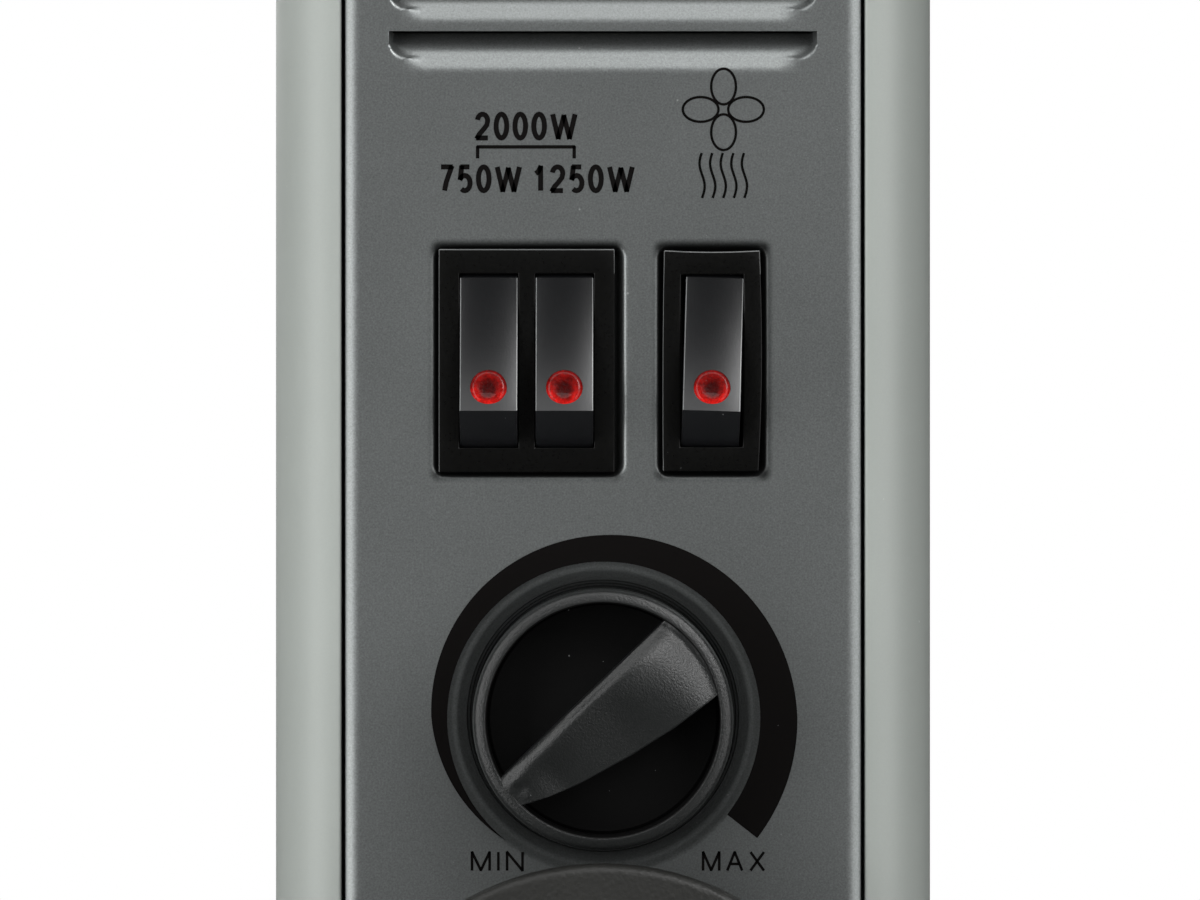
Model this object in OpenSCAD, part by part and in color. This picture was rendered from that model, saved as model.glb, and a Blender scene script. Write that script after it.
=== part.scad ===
// Oil filled radiator heater with a fan-assisted front control housing.
// The controls face -Y, the fins follow towards +Y, +Z is up, and the origin is on the floor under the middle.

/* [Radiator] */
// Number of oil filled fins
fin_count = 9; // [5:1:9]
// Distance from one fin to the next
fin_pitch = 40; // [36:1:50]
// Width of a fin over its side flaps
fin_w = 98; // [90:1:120]
// Height of a fin
fin_h = 532; // [500:1:640]
// Height of the fins' lower edge above the foot brackets
fin_over_foot = 14; // [12:1:30]
// Thickness of the pressed fin sheet
fin_sheet = 1.2; // [1:0.1:1.6]
// Depth of the folded side flaps
flap_d = 30; // [20:1:30]
// Outer radius of the header hubs
hub_r = 22; // [20:0.5:26]
// Wall of the header hubs
hub_wall = 1.6; // [1.2:0.1:2.5]
// Distance of the header hubs' axes from the fin's ends
hub_inset = 42; // [38:1:60]
// Thickness of the oil channels
channel_t = 11; // [9:0.5:14]
// Width of one oil channel
channel_w = 20; // [16:1:24]

/* [Housing] */
// Width of the painted strip on each side of the front panel
strip_w = 9.6; // [8:0.1:20]
// Depth of the control housing
housing_d = 84; // [80:1:110]
// Height of the housing's lower edge above the fins' lower edge
housing_rise = 20; // [10:1:40]
// Distance of the housing's top below the fins' top
housing_drop = 8; // [0:1:30]
// Thickness of each moulded end cap
cap_t = 8; // [6:0.5:14]
// Thickness of the housing and panel sheet
sheet = 1; // [0.8:0.1:1.5]
// Depth over which the housing's front corners round off
corner_d = 13; // [8:1:20]
// Width of the front panel's opening in the housing
opening_w = 72.8; // [70:0.2:84]
// Gap between the panel and the housing
seam_gap = 0.5; // [0.3:0.05:1]
// Depth of the panel's side flanges
panel_flange = 9; // [5:0.5:12]
// Bend radius of the panel's side edges
panel_bend = 2; // [1.5:0.1:3]

/* [Louvres] */
// Length of a louvre slot
louvre_l = 59.4; // [40:0.2:62]
// Height of a louvre slot
louvre_h = 2.8; // [2:0.1:3.4]
// Distance from one louvre to the next
louvre_pitch = 6.8; // [6:0.1:9]
// Number of louvres over the fan
upper_louvres = 17; // [4:1:17]
// Number of intake louvres near the floor
lower_louvres = 5; // [2:1:6]
// How far a louvre's lip goes in
louvre_d = 3.6; // [2:0.1:5]

/* [Switches] */
// Height of the switches' centre above the knob's axis
switch_over_knob = 49.4; // [48:0.2:60]
// Width of the bezel beside each rocker
bezel_side = 2.95; // [2.4:0.05:4]
// Height of both bezels
bezel_h = 31; // [30.5:0.1:33]
// Thickness of the bezels
bezel_t = 2.2; // [2:0.1:3]
// Distance of the two-rocker switch from the middle, to the left
double_x = 10.6; // [10:0.1:13]
// Distance of the one-rocker switch from the middle, to the right
single_x = 15.2; // [14.5:0.1:18]
// Width of a rocker
rocker_w = 8; // [6:0.1:8.4]
// Width of the bezel between the two rockers of the wide switch
rocker_web = 2.5; // [2:0.1:4]
// Travel of a rocker from one stop to the other, in degrees
rocker_travel = 25.6; // [16:0.1:28]
// Radius of the round indicator lens
lens_r = 2.6; // [2:0.1:2.8]
// Depth of the pressed recess that the bezels sit in
recess_d = 1.6; // [1:0.1:2]

/* [Thermostat] */
// Distance of the knob's axis below the housing's top
knob_drop = 244; // [200:0.5:260]
// Radius of the knob
knob_r = 17.9; // [15:0.1:18.4]
// How far the knob stands out of the panel
knob_out = 17; // [13:0.5:17.5]
// Gap between the knob and the edge of the dish that it turns in
dish_clear = 3.5; // [2:0.1:6]
// Depth of the dish
dish_d = 3; // [2:0.1:4]
// Radius of the thermostat's spindle
spindle_r = 3; // [2.5:0.1:4]
// Direction of the knob's pointer from the right, anticlockwise, in degrees
pointer_angle = 217; // [0:1:359]

/* [Cord winder] */
// Gap between the winder's top edge and the knob
winder_clear = 1.5; // [1:0.1:20]
// Height of the whole winder
winder_h = 172; // [130:1:176]
// Width of the winder's horns
winder_w = 62; // [50:1:66]
// How far the winder stands out of the panel
winder_out = 19; // [18:0.5:26]
// Thickness of a horn
horn_t = 4.5; // [4:0.1:6]
// Radius of a horn's arched edge
horn_arch_r = 38.6; // [36:0.2:60]

/* [Handle] */
// Clear height under the grip
grip_gap = 30; // [26:1:40]
// Thickness of the grip
grip_t = 16; // [12:0.5:20]

/* [Fan] */
// Gap between the fan's duct and the housing's sides
duct_side_gap = 5; // [2:0.5:10]
// Thickness of the duct's wall where it is thinnest
duct_wall = 4; // [2:0.5:8]
// Clearance between the blades and the duct
blade_gap = 1.5; // [1:0.1:3]
// Number of fan blades
blade_count = 5; // [3:1:7]

/* [Feet] */
// Length of a foot bracket, across the heater
foot_w = 240; // [220:1:280]
// Width of a foot bracket
foot_d = 46; // [40:1:50]
// Thickness of the bracket's steel
foot_t = 2; // [1.5:0.1:3]
// Height of the fork's bearing race under the bracket
race_h = 5.7; // [4:0.1:12]
// Radius of a wheel
wheel_r = 20; // [16:0.5:21]
// Width of a wheel
wheel_w = 15; // [12:0.5:18]
// Distance of the wheel's axle behind the swivel's axis
trail = 14; // [10:0.5:16]
// Radius of the U-bolts' rod
ubolt_r = 3; // [2.5:0.1:4]

/* [Clearances] */
// Radial clearance of a turning shaft in its hole
running = 0.06; // [0.02:0.01:0.1]
// Gap between pieces that are fixed to each other
fit_gap = 0.05; // [0.02:0.01:0.2]
// Gap round a part that moves in an opening
moving_gap = 0.4; // [0.3:0.05:0.6]
// Gap between a wheel and the fork's crown
crown_gap = 4; // [2:0.5:8]
// Gap between the swivel race and the bracket, and between the bracket and the stem's cap
swivel_gap = 0.3; // [0.3:0.05:0.6]

/* [Hidden] */
fins = [for (i = [1:fin_count]) str("fin_", i)];
corners = ["fl", "fr", "rl", "rr"];

tiny = 0.01;

// Heights, from the floor up.
crown_t = 4;
foot_z = 2 * wheel_r + crown_gap + crown_t + race_h + swivel_gap;
fin_z = foot_z + fin_over_foot;
housing_z = fin_z + housing_rise;
housing_h = fin_h - housing_rise - housing_drop;
cap_top_z = housing_z + housing_h;
knob_z = cap_top_z - knob_drop;
switch_z = knob_z + switch_over_knob;
winder_top = knob_z - knob_r - winder_clear;
grip_z = cap_top_z + grip_gap;

// Widths of the front.
housing_w = opening_w + 2 * strip_w;
rocker_gap = rocker_w + rocker_web;
double_bezel_w = rocker_gap + rocker_w + 2 * bezel_side;
single_bezel_w = rocker_w + 2 * bezel_side;
dish_r = knob_r + dish_clear;

// Depths are measured inwards from the panel's front face, which lies at y = panel_y.
shield_gap = 2;
shield_t = 0.8;
flap_gap = 5;
fin_1_d = housing_d + flap_gap + flap_d;
rear_stub = 8;
header_cap_t = 3;
total_l = winder_out + fin_1_d + (fin_count - 1) * fin_pitch + rear_stub + header_cap_t;
panel_y = winder_out - total_l / 2;
function web_y(i) = panel_y + fin_1_d + (i - 1) * fin_pitch;
low_hub_z = fin_z + hub_inset;
high_hub_z = fin_z + fin_h - hub_inset;
hub_bore_r = hub_r - hub_wall;
hub_front_d = fin_1_d - fin_pitch / 2;

web_t = 2 * fin_sheet;
flap_bend = 5;
fin_corner = 24;
channel_gap = 28;

shell_z0 = housing_z + cap_t;
shell_z1 = housing_z + housing_h - cap_t;
half_w = housing_w / 2;
half_opening = opening_w / 2;
lip_d = 8;
panel_w = opening_w - 2 * seam_gap;
panel_z0 = shell_z0 + 4;
panel_z1 = shell_z1 - 4;
first_louvre_z = cap_top_z - 150.2;
lower_louvre_z = panel_z0 + 12;

rocker_window_h = 24.2;
rocker_pivot_d = 8 - (bezel_t - recess_d);
rocker_face_r = 13.95;
rocker_corner = 42.8;
rocker_dish = 0.9;
rocker_pin_r = 1.2;
rocker_tilt = rocker_travel / 2;
lens_offset = 6.1;
bezel_front_d = recess_d - bezel_t;
switch_body_h = 28;
switch_body_d = 24;
switch_body_inset = 1;
switch_wall = 0.8;
recess_margin = 1.3;

knob_back_d = 1;
knob_rim_w = 1.3;
knob_rim_out = 13.5;
knob_pocket_out = 8.5;
grip_narrow = 5.6;
grip_wide = 12.9;
spindle_hole_r = 5;
spindle_out = 9;
thermostat_w = 30;
thermostat_d = 24;
thermostat_front = dish_d + 2 * sheet + 2;
pendulum_pin_r = 1.5;

screw_r = 2;
screw_head_r = 3.8;
screw_head_t = 2.2;
nut_r = 5.5;
nut_t = 4.5;
stud_r = 3;

handle_w = housing_w - 12;
handle_d = 26;
handle_leg = 12;
handle_y = panel_y + housing_d / 2;

fan_z = first_louvre_z + (upper_louvres - 1) * louvre_pitch / 2;
duct_w = housing_w - 2 * sheet - 2 * duct_side_gap;
duct_r = duct_w / 2 - duct_wall;
duct_d0 = 10.4;
duct_d1 = 44;
impeller_d = 32;
fan_shaft_r = 1.5;
fan_hub_r = 11;
fan_hub_l = 12;
duct_leg_r = 1.8;
duct_leg_x = panel_w / 2 - panel_bend - duct_leg_r - 0.4;
coil_d = 17;
coil_wire_r = 1.1;
coil_rings = [duct_r - 20, duct_r - 13, duct_r - 6];

foot_front_y = web_y(1) + fin_pitch / 2;
foot_rear_y = web_y(fin_count - 1) + fin_pitch / 2;
ubolt_x = hub_r + fit_gap + ubolt_r;
caster_x = foot_w / 2 - 18;
stem_r = 4;
axle_r = 3;
fork_plate = 2;
fork_gap = 0.8;
fork_crown_z = 2 * wheel_r + crown_gap;
race_r = 13;

gland_x = -24;
gland_d = 60;
gland_r = 6.5;
gland_bore_r = 3.9;
gland_flange_r = 9.5;
tilt_x = 22;
tilt_z = low_hub_z + 40;
tilt_d = 50;
block_z = knob_z - 48;

// Shapes that several pieces use

// A 2D shape in X and Z becomes a plate that starts at y = 0 and goes towards +Y.
module plate_y(t) {
    translate([0, t, 0]) rotate([90, 0, 0]) linear_extrude(t) children();
}

// A 2D shape in Y and Z becomes a bar along X, centred on x = 0.
module bar_x(w) {
    rotate([90, 0, 90]) translate([0, 0, -w / 2]) linear_extrude(w) children();
}

// Moves a piece to a depth behind the panel's front face.
module at_depth(d) {
    translate([0, panel_y + d, 0]) children();
}

// A round bar along +Y that starts at y = 0.
module rod_y(r, l, fn = 48) {
    rotate([-90, 0, 0]) cylinder(r = r, h = l, $fn = fn);
}

// A 2D rectangle about the origin with round corners.
module round_rect(w, h, r) {
    square([w - 2 * r, h], center = true);
    square([w, h - 2 * r], center = true);
    for (x = [-1, 1], y = [-1, 1])
        translate([x * (w / 2 - r), y * (h / 2 - r)]) circle(r, $fn = 48);
}

// A 2D upright slot with round ends, from z0 to z1.
module slot_z(w, z0, z1) {
    translate([-w / 2, z0 + w / 2]) square([w, z1 - z0 - w]);
    for (z = [z0 + w / 2, z1 - w / 2]) translate([0, z]) circle(w / 2, $fn = 48);
}

// A quarter of an ellipse, from the front (0, 0) outwards and back to (a, b).
function corner_arc(a, b, steps = 12) =
    [for (i = [0:steps]) let (t = 90 * i / steps) [a * sin(t), b * (1 - cos(t))]];

// The housing's plan outline, drawn in by inset from its outer face.
module housing_plan(inset = 0, depth = housing_d) {
    side = [for (p = corner_arc(half_w - inset - half_opening, corner_d - inset))
        [half_opening + p[0], inset + p[1]]];
    mirrored = [for (i = [len(side) - 1:-1:0]) [-side[i][0], side[i][1]]];
    polygon(concat(side, [[half_w - inset, depth - inset], [inset - half_w, depth - inset]], mirrored));
}

// A tube along a smooth line through points, with sides facets round it.
function dot3(a, b) = a[0] * b[0] + a[1] * b[1] + a[2] * b[2];
function unit(v) = v / norm(v);
function spline_at(p, i, t) = let (
    n = len(p) - 1, a = p[max(i - 1, 0)], b = p[i], c = p[min(i + 1, n)], d = p[min(i + 2, n)])
    0.5 * (2 * b + (c - a) * t + (2 * a - 5 * b + 4 * c - d) * t * t + (3 * b - a - 3 * c + d) * t * t * t);
function spline(p, steps) =
    concat([for (i = [0:len(p) - 2], k = [0:steps - 1]) spline_at(p, i, k / steps)], [p[len(p) - 1]]);
module tube(points, r, sides = 8, steps = 4) {
    line = spline(points, steps);
    n = len(line);
    along = [for (i = [0:n - 1]) unit(line[min(i + 1, n - 1)] - line[max(i - 1, 0)])];
    rings = [for (i = [0:n - 1]) let (
        side = unit(cross(along[i], abs(along[i][0]) < 0.9 ? [1, 0, 0] : [0, 1, 0])),
        up = cross(side, along[i]))
        for (k = [0:sides - 1]) line[i] + r * (side * cos(360 * k / sides) + up * sin(360 * k / sides))];
    walls = [for (i = [0:n - 2], k = [0:sides - 1]) let (a = i * sides, m = (k + 1) % sides)
        [a + k, a + sides + k, a + sides + m, a + m]];
    polyhedron(rings, concat([[for (k = [0:sides - 1]) k]], walls,
        [[for (k = [sides - 1:-1:0]) (n - 1) * sides + k]]), convexity = 4);
}

// Radiator

module channels(t, grow, bore) {
    plate_y(t) {
        for (x = [-1:1]) translate([x * channel_gap, 0])
            slot_z(channel_w + 2 * grow, low_hub_z - 14 - grow, high_hub_z + 14 + grow);
        for (z = [low_hub_z, high_hub_z]) translate([0, z]) circle(hub_r + 8 + grow, $fn = 64);
        for (z = [low_hub_z, high_hub_z]) translate([0, z])
            square([2 * channel_gap, channel_w - 4 + 2 * grow], center = true);
    }
}

// The sheet's plan section: a web with a flap folded forwards at each side.
module flap_section() {
    web_half = fin_w / 2 - flap_bend;
    translate([-web_half, -web_t / 2]) square([2 * web_half, web_t]);
    for (s = [-1, 1]) scale([s, 1]) {
        translate([web_half, web_t / 2 - flap_bend]) intersection() {
            difference() {
                circle(flap_bend, $fn = 48);
                circle(flap_bend - fin_sheet, $fn = 48);
            }
            square(flap_bend);
        }
        translate([fin_w / 2 - fin_sheet, web_t / 2 - flap_d]) square([fin_sheet, flap_d - flap_bend]);
    }
}

module fin(i) {
    back = i == fin_count ? rear_stub : fin_pitch / 2;
    color([0.62, 0.65, 0.62]) translate([0, web_y(i), 0]) difference() {
        union() {
            translate([0, -web_t / 2, fin_z + fin_h / 2]) plate_y(web_t)
                round_rect(fin_w - 2 * flap_bend, fin_h, fin_corner);
            translate([0, 0, fin_z + fin_corner]) linear_extrude(fin_h - 2 * fin_corner) flap_section();
            translate([0, -channel_t / 2, 0]) channels(channel_t, 0);
            for (z = [low_hub_z, high_hub_z])
                translate([0, -fin_pitch / 2, z]) rod_y(hub_r, fin_pitch / 2 + back, 64);
        }
        translate([0, fin_sheet - channel_t / 2, 0]) channels(channel_t - 2 * fin_sheet, -fin_sheet);
        for (z = [low_hub_z, high_hub_z])
            translate([0, -fin_pitch / 2 - 1, z]) rod_y(hub_bore_r, fin_pitch / 2 + back + 2, 64);
    }
}

// The discs that close the headers; the upper front one carries the housing's stud.
module header_caps() {
    color([0.62, 0.65, 0.62]) {
        for (z = [low_hub_z, high_hub_z])
            translate([0, web_y(fin_count) + rear_stub, z]) rod_y(hub_r, header_cap_t, 64);
        translate([0, 0, high_hub_z]) {
            at_depth(hub_front_d - header_cap_t) rod_y(hub_r, header_cap_t, 64);
            at_depth(housing_d - 8) rod_y(stud_r, hub_front_d - header_cap_t - housing_d + 8 + tiny);
        }
    }
}

// A bent heating rod: two legs joined by a half ring at the far end.
module heating_rod(half_gap, z, l, r) {
    pin_r = 1.6;
    translate([0, panel_y + hub_front_d, low_hub_z + z]) {
        for (x = [-half_gap, half_gap]) translate([x, 0, 0]) {
            translate([0, 0, 0]) rod_y(r, l);
            translate([0, -14, 0]) rod_y(pin_r, 14 + tiny, 24);
        }
        translate([0, l, 0]) rotate_extrude(angle = 180, $fn = 64)
            translate([half_gap, 0]) circle(r, $fn = 32);
    }
}

module element_750w() {
    color([0.75, 0.5, 0.35]) heating_rod(6, 6, 190, 3.2);
}

module element_1250w() {
    color([0.75, 0.5, 0.35]) heating_rod(9, -6, 270, 3.2);
}

// The plug that seals the lower header and carries the heating rods and two of the housing's studs.
module element_head() {
    plate_t = 3.2;
    plug_l = 5;
    stud_x = 29;
    color("darkgray") translate([0, 0, low_hub_z]) difference() {
        union() {
            at_depth(hub_front_d - plate_t) plate_y(plate_t) round_rect(2 * stud_x + 14, 34, 8);
            at_depth(hub_front_d - plate_t) rod_y(hub_bore_r - fit_gap, plate_t + plug_l, 64);
            for (x = [-stud_x, stud_x]) translate([x, 0, 0])
                at_depth(housing_d - 8) rod_y(stud_r, hub_front_d - plate_t - housing_d + 8 + tiny);
        }
        for (leg = [[6, 6], [9, -6]], s = [-1, 1]) translate([s * leg[0], 0, leg[1]])
            at_depth(hub_front_d - plate_t - 1) rod_y(3.2 + fit_gap, plate_t + plug_l + 2);
    }
}

// The snap-disc cut-out that trips when the first fin gets too hot.
module overheat_cutout() {
    front_d = fin_1_d - channel_t / 2;
    color("gainsboro") translate([0, 0, block_z + 30]) {
        at_depth(front_d - fit_gap - 1) plate_y(1) round_rect(34, 14, 4);
        at_depth(front_d - fit_gap - 9) rod_y(8, 8 + tiny);
        for (x = [-4, 4]) translate([x, 0, 0]) at_depth(front_d - fit_gap - 15)
            translate([-0.4, 0, -3]) cube([0.8, 6 + tiny, 6]);
    }
}

// Housing

module housing_shell() {
    color([0.62, 0.65, 0.62]) translate([0, panel_y, 0]) difference() {
        translate([0, 0, shell_z0]) linear_extrude(shell_z1 - shell_z0) difference() {
            housing_plan();
            difference() {
                housing_plan(sheet);
                square_front(half_opening + sheet, lip_d);
            }
            translate([0, -1]) square_front(half_opening, lip_d + 2);
        }
        translate([0, housing_d - 2 * sheet, high_hub_z]) rod_y(stud_r + 0.4, 4);
        for (x = [-29, 29]) translate([x, housing_d - 2 * sheet, low_hub_z]) rod_y(stud_r + 0.4, 4);
        translate([0, housing_d - 2 * sheet, low_hub_z]) rod_y(16, 4);
    }
}

// One pressed louvre's lip, which leans inwards and up behind its slot.
module louvre_lip(z) {
    at_depth(0) bar_x(louvre_l) polygon([
        [0.2, z - louvre_h / 2 - 0.6], [sheet, z - louvre_h / 2 - 0.6],
        [louvre_d + sheet, z + louvre_h / 2], [louvre_d, z + louvre_h / 2],
        [sheet, z - louvre_h / 2 + 0.4], [0.2, z - louvre_h / 2]]);
}

function louvre_heights() = concat(
    [for (i = [0:upper_louvres - 1]) first_louvre_z + i * louvre_pitch],
    [for (i = [0:lower_louvres - 1]) lower_louvre_z + i * louvre_pitch]);

// A shallow pressed tray behind the panel's face that a bezel sits in.
module switch_tray(x, w) {
    tray_w = w + 2 * recess_margin;
    tray_h = bezel_h + 2 * recess_margin;
    translate([x, 0, switch_z]) at_depth(0) difference() {
        plate_y(recess_d + sheet) square([tray_w + 2 * sheet, tray_h + 2 * sheet], center = true);
        translate([0, -1, 0]) plate_y(recess_d + 1) square([tray_w, tray_h], center = true);
    }
}

module switch_window(x, w, h) {
    translate([x, 0, switch_z]) at_depth(-1) plate_y(dish_d + 9) square([w, h], center = true);
}

// The pressed dish, as a body of revolution about the knob's axis.
module dish(r, depth, t) {
    wall = 2.2;
    translate([0, 0, knob_z]) at_depth(0) rotate([-90, 0, 0]) rotate_extrude($fn = 96)
        polygon([[0, depth], [r - wall, depth], [r, 0], [r + t, 0], [r - wall + t, depth + t], [0, depth + t]]);
}

module front_panel() {
    half = panel_w / 2;
    height = panel_z1 - panel_z0;
    thermostat_screw_x = 12;
    color([0.35, 0.36, 0.35]) difference() {
        union() {
            difference() {
                translate([0, panel_y, panel_z0]) linear_extrude(height) {
                    translate([-half + panel_bend, 0]) square([panel_w - 2 * panel_bend, sheet]);
                    for (s = [-1, 1]) scale([s, 1]) {
                        translate([half - sheet, panel_bend]) square([sheet, panel_flange - panel_bend]);
                        translate([half - panel_bend, panel_bend]) intersection() {
                            difference() {
                                circle(panel_bend, $fn = 48);
                                circle(panel_bend - sheet, $fn = 48);
                            }
                            translate([0, -panel_bend]) square(panel_bend);
                        }
                    }
                }
                switch_window(-double_x, double_bezel_w + 2 * recess_margin, bezel_h + 2 * recess_margin);
                switch_window(single_x, single_bezel_w + 2 * recess_margin, bezel_h + 2 * recess_margin);
                translate([0, 0, knob_z]) at_depth(-1) rod_y(dish_r, sheet + 2, 96);
                for (z = louvre_heights())
                    translate([0, 0, z]) at_depth(-1) plate_y(sheet + 2)
                        square([louvre_l, louvre_h], center = true);
            }
            switch_tray(-double_x, double_bezel_w);
            switch_tray(single_x, single_bezel_w);
            dish(dish_r, dish_d, sheet);
            for (z = louvre_heights()) louvre_lip(z);
        }
        switch_window(-double_x, double_bezel_w - 1, switch_body_h + 2 * fit_gap);
        switch_window(single_x, single_bezel_w - 1, switch_body_h + 2 * fit_gap);
        translate([0, 0, knob_z]) at_depth(0) rod_y(spindle_hole_r, dish_d + 9);
        for (z = winder_screw_heights())
            translate([0, 0, z]) at_depth(-1) rod_y(screw_r + 0.2, sheet + 2);
    }
}

module end_cap(z, up) {
    rim = 5;
    translate([0, panel_y, z]) linear_extrude(cap_t) housing_plan();
    translate([0, panel_y, up ? z - rim : z + cap_t - tiny]) linear_extrude(rim + tiny) difference() {
        translate([0, lip_d + 3]) square_front(half_w - 2 * sheet, housing_d - lip_d - 3 - 2 * sheet);
        translate([0, lip_d + 5]) square_front(half_w - 2 * sheet - 2, housing_d - lip_d - 7 - 2 * sheet);
    }
}

// A 2D rectangle whose front edge is centred on the origin.
module square_front(half, d) {
    translate([-half, 0]) square([2 * half, d]);
}

module top_cap() {
    color([0.2, 0.21, 0.21]) difference() {
        end_cap(shell_z1, true);
        for (x = [-1, 1]) translate([x * (handle_w - handle_leg) / 2, handle_y, shell_z1 - 6])
            cylinder(r = screw_r + 0.2, h = cap_t + 8, $fn = 32);
    }
}

module bottom_cap() {
    vent = [30, 4];
    color([0.2, 0.21, 0.21]) difference() {
        end_cap(housing_z, false);
        translate([gland_x, panel_y + gland_d, housing_z - 1])
            cylinder(r = gland_r + fit_gap, h = cap_t + 2, $fn = 48);
        for (i = [0:4]) translate([8, panel_y + 24 + i * 9, housing_z - 1]) cube([vent[0], vent[1], cap_t + 2]);
    }
}

module heat_shield() {
    z0 = shell_z0 + 6;
    z1 = shell_z1 - 6;
    color("silver") difference() {
        translate([0, 0, (z0 + z1) / 2]) at_depth(housing_d + shield_gap)
            plate_y(shield_t) round_rect(housing_w - 4, z1 - z0, 6);
        translate([0, 0, high_hub_z]) at_depth(housing_d) rod_y(stud_r + 0.4, 6);
        for (x = [-29, 29]) translate([x, 0, low_hub_z]) at_depth(housing_d) rod_y(stud_r + 0.4, 6);
        translate([0, 0, low_hub_z]) at_depth(housing_d) rod_y(16, 6);
        for (i = [0:7]) translate([0, 0, 190 + i * 36]) at_depth(housing_d)
            plate_y(6) square([50, 8], center = true);
    }
}

module carry_handle() {
    color([0.16, 0.17, 0.17]) translate([0, handle_y, 0]) difference() {
        translate([0, -handle_d / 2, 0]) plate_y(handle_d) difference() {
            translate([0, (cap_top_z + grip_z + grip_t) / 2])
                round_rect(handle_w, grip_gap + grip_t, 10);
            translate([0, (cap_top_z + grip_z) / 2 - 10])
                round_rect(handle_w - 2 * handle_leg, grip_gap + 20, 8);
        }
        for (x = [-1, 1]) translate([x * (handle_w - handle_leg) / 2, 0, cap_top_z - 1])
            cylinder(r = screw_r, h = 19, $fn = 32);
        for (x = [-1, 1]) scale([x, 1, 1]) translate([handle_w / 2 - 3.2, -handle_d, cap_top_z - 1])
            cube([4, 2 * handle_d, 0.5]);
    }
}

// A pan-head screw whose head is at z = 0 and whose shank points up.
module pan_screw(l) {
    translate([0, 0, -screw_head_t]) difference() {
        cylinder(r = screw_head_r, h = screw_head_t + tiny, $fn = 48);
        for (a = [0, 90]) rotate(a) translate([-2.2, -0.5, -1]) cube([4.4, 1, 2]);
    }
    cylinder(r = screw_r - fit_gap, h = l, $fn = 32);
}

module cover_screws() {
    color("silver") {
        for (x = [-1, 1]) translate([x * (handle_w - handle_leg) / 2, handle_y, shell_z1 - fit_gap])
            pan_screw(cap_t + 17);
        for (z = winder_screw_heights()) translate([0, panel_y - 3.2, z])
            rotate([-90, 0, 0]) pan_screw(3.2 + sheet + 5);
    }
}

module shield_nuts() {
    color("silver") for (p = [[0, high_hub_z], [-29, low_hub_z], [29, low_hub_z]])
        translate([p[0], 0, p[1]]) at_depth(housing_d - sheet - nut_t - fit_gap) difference() {
            rod_y(nut_r, nut_t, 6);
            translate([0, -1, 0]) rod_y(stud_r + fit_gap, nut_t + 2);
        }
}

// Switches

// The hollow moulding behind a bezel, with a window for each rocker at the places in xs.
module switch_body(bezel_w, xs) {
    window_w = rocker_w + 2 * moving_gap;
    cavity_h = 26.2;
    cavity_d = 16;
    lip = 0.8;
    body_w = bezel_w - 2 * switch_body_inset;
    difference() {
        union() {
            plate_y(bezel_t) round_rect(bezel_w, bezel_h, 0.8);
            plate_y(bezel_t + switch_body_d) square([body_w, switch_body_h], center = true);
            for (x = xs, z = [-9, 0, 9]) translate([x - 0.4, bezel_t + switch_body_d - tiny, z - 3])
                cube([0.8, 7, 6]);
        }
        for (x = xs) translate([x, 0, 0]) {
            translate([0, -1, 0]) plate_y(lip + 1 + tiny) square([window_w, rocker_window_h], center = true);
            translate([0, lip, 0]) plate_y(cavity_d) square([window_w, cavity_h], center = true);
        }
        for (x = xs) translate([x, rocker_pivot_d - bezel_front_d, 0]) rotate([0, 90, 0])
            cylinder(r = rocker_pin_r + running, h = window_w + 1.4, center = true, $fn = 32);
    }
}

module double_switch_body() {
    color([0.07, 0.07, 0.07]) translate([-double_x, 0, switch_z]) at_depth(bezel_front_d)
        switch_body(double_bezel_w, [-rocker_gap / 2, rocker_gap / 2]);
}

module fan_switch_body() {
    color([0.07, 0.07, 0.07]) translate([single_x, 0, switch_z]) at_depth(bezel_front_d)
        switch_body(single_bezel_w, [0]);
}

// Points on the rocker's section, at radius r and at an angle from straight out, up being positive.
function polar_yz(r, a) = [-r * cos(a), r * sin(a)];

// A rocker about its pivot, level: a hollowed face between two round ends, and its pivot pin.
module rocker_level() {
    face_d = rocker_face_r * cos(rocker_corner);
    half_face = rocker_face_r * sin(rocker_corner);
    face = [for (i = [0:12]) let (u = -1 + i / 6) [-face_d + rocker_dish * (1 - u * u), u * half_face]];
    top_end = [for (a = [1:4]) polar_yz(rocker_face_r, rocker_corner + 2 * a)];
    low_end = [for (a = [4:-1:1]) polar_yz(rocker_face_r, -rocker_corner - 2 * a)];
    difference() {
        union() {
            bar_x(rocker_w) polygon(concat(low_end, face, top_end, [[-2, 6], [3, 3], [3, -3], [-2, -6]]));
            rotate([0, 90, 0])
                cylinder(r = rocker_pin_r, h = rocker_w + 2 * moving_gap + 1, center = true, $fn = 32);
        }
        translate([0, -face_d - 1, -lens_offset]) rod_y(lens_r + fit_gap, 5);
    }
}

// The indicator lens: a short cylinder with a domed front.
module lens_level() {
    face_d = rocker_face_r * cos(rocker_corner);
    seat = -face_d + rocker_dish * (1 - pow(lens_offset / (rocker_face_r * sin(rocker_corner)), 2));
    dome = 0.7;
    dome_r = (lens_r * lens_r + dome * dome) / (2 * dome);
    translate([0, seat, -lens_offset]) {
        rod_y(lens_r, 3, 48);
        intersection() {
            translate([0, dome_r - dome, 0]) sphere(dome_r, $fn = 96);
            translate([0, -dome - 1, 0]) rod_y(lens_r, dome + 1 + tiny, 48);
        }
    }
}

// Puts a level piece of a rocker at x, turned so that its lower end stands out.
module place_rocker(x) {
    translate([x, 0, switch_z]) at_depth(rocker_pivot_d) rotate([-rocker_tilt, 0, 0]) children();
}

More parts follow.
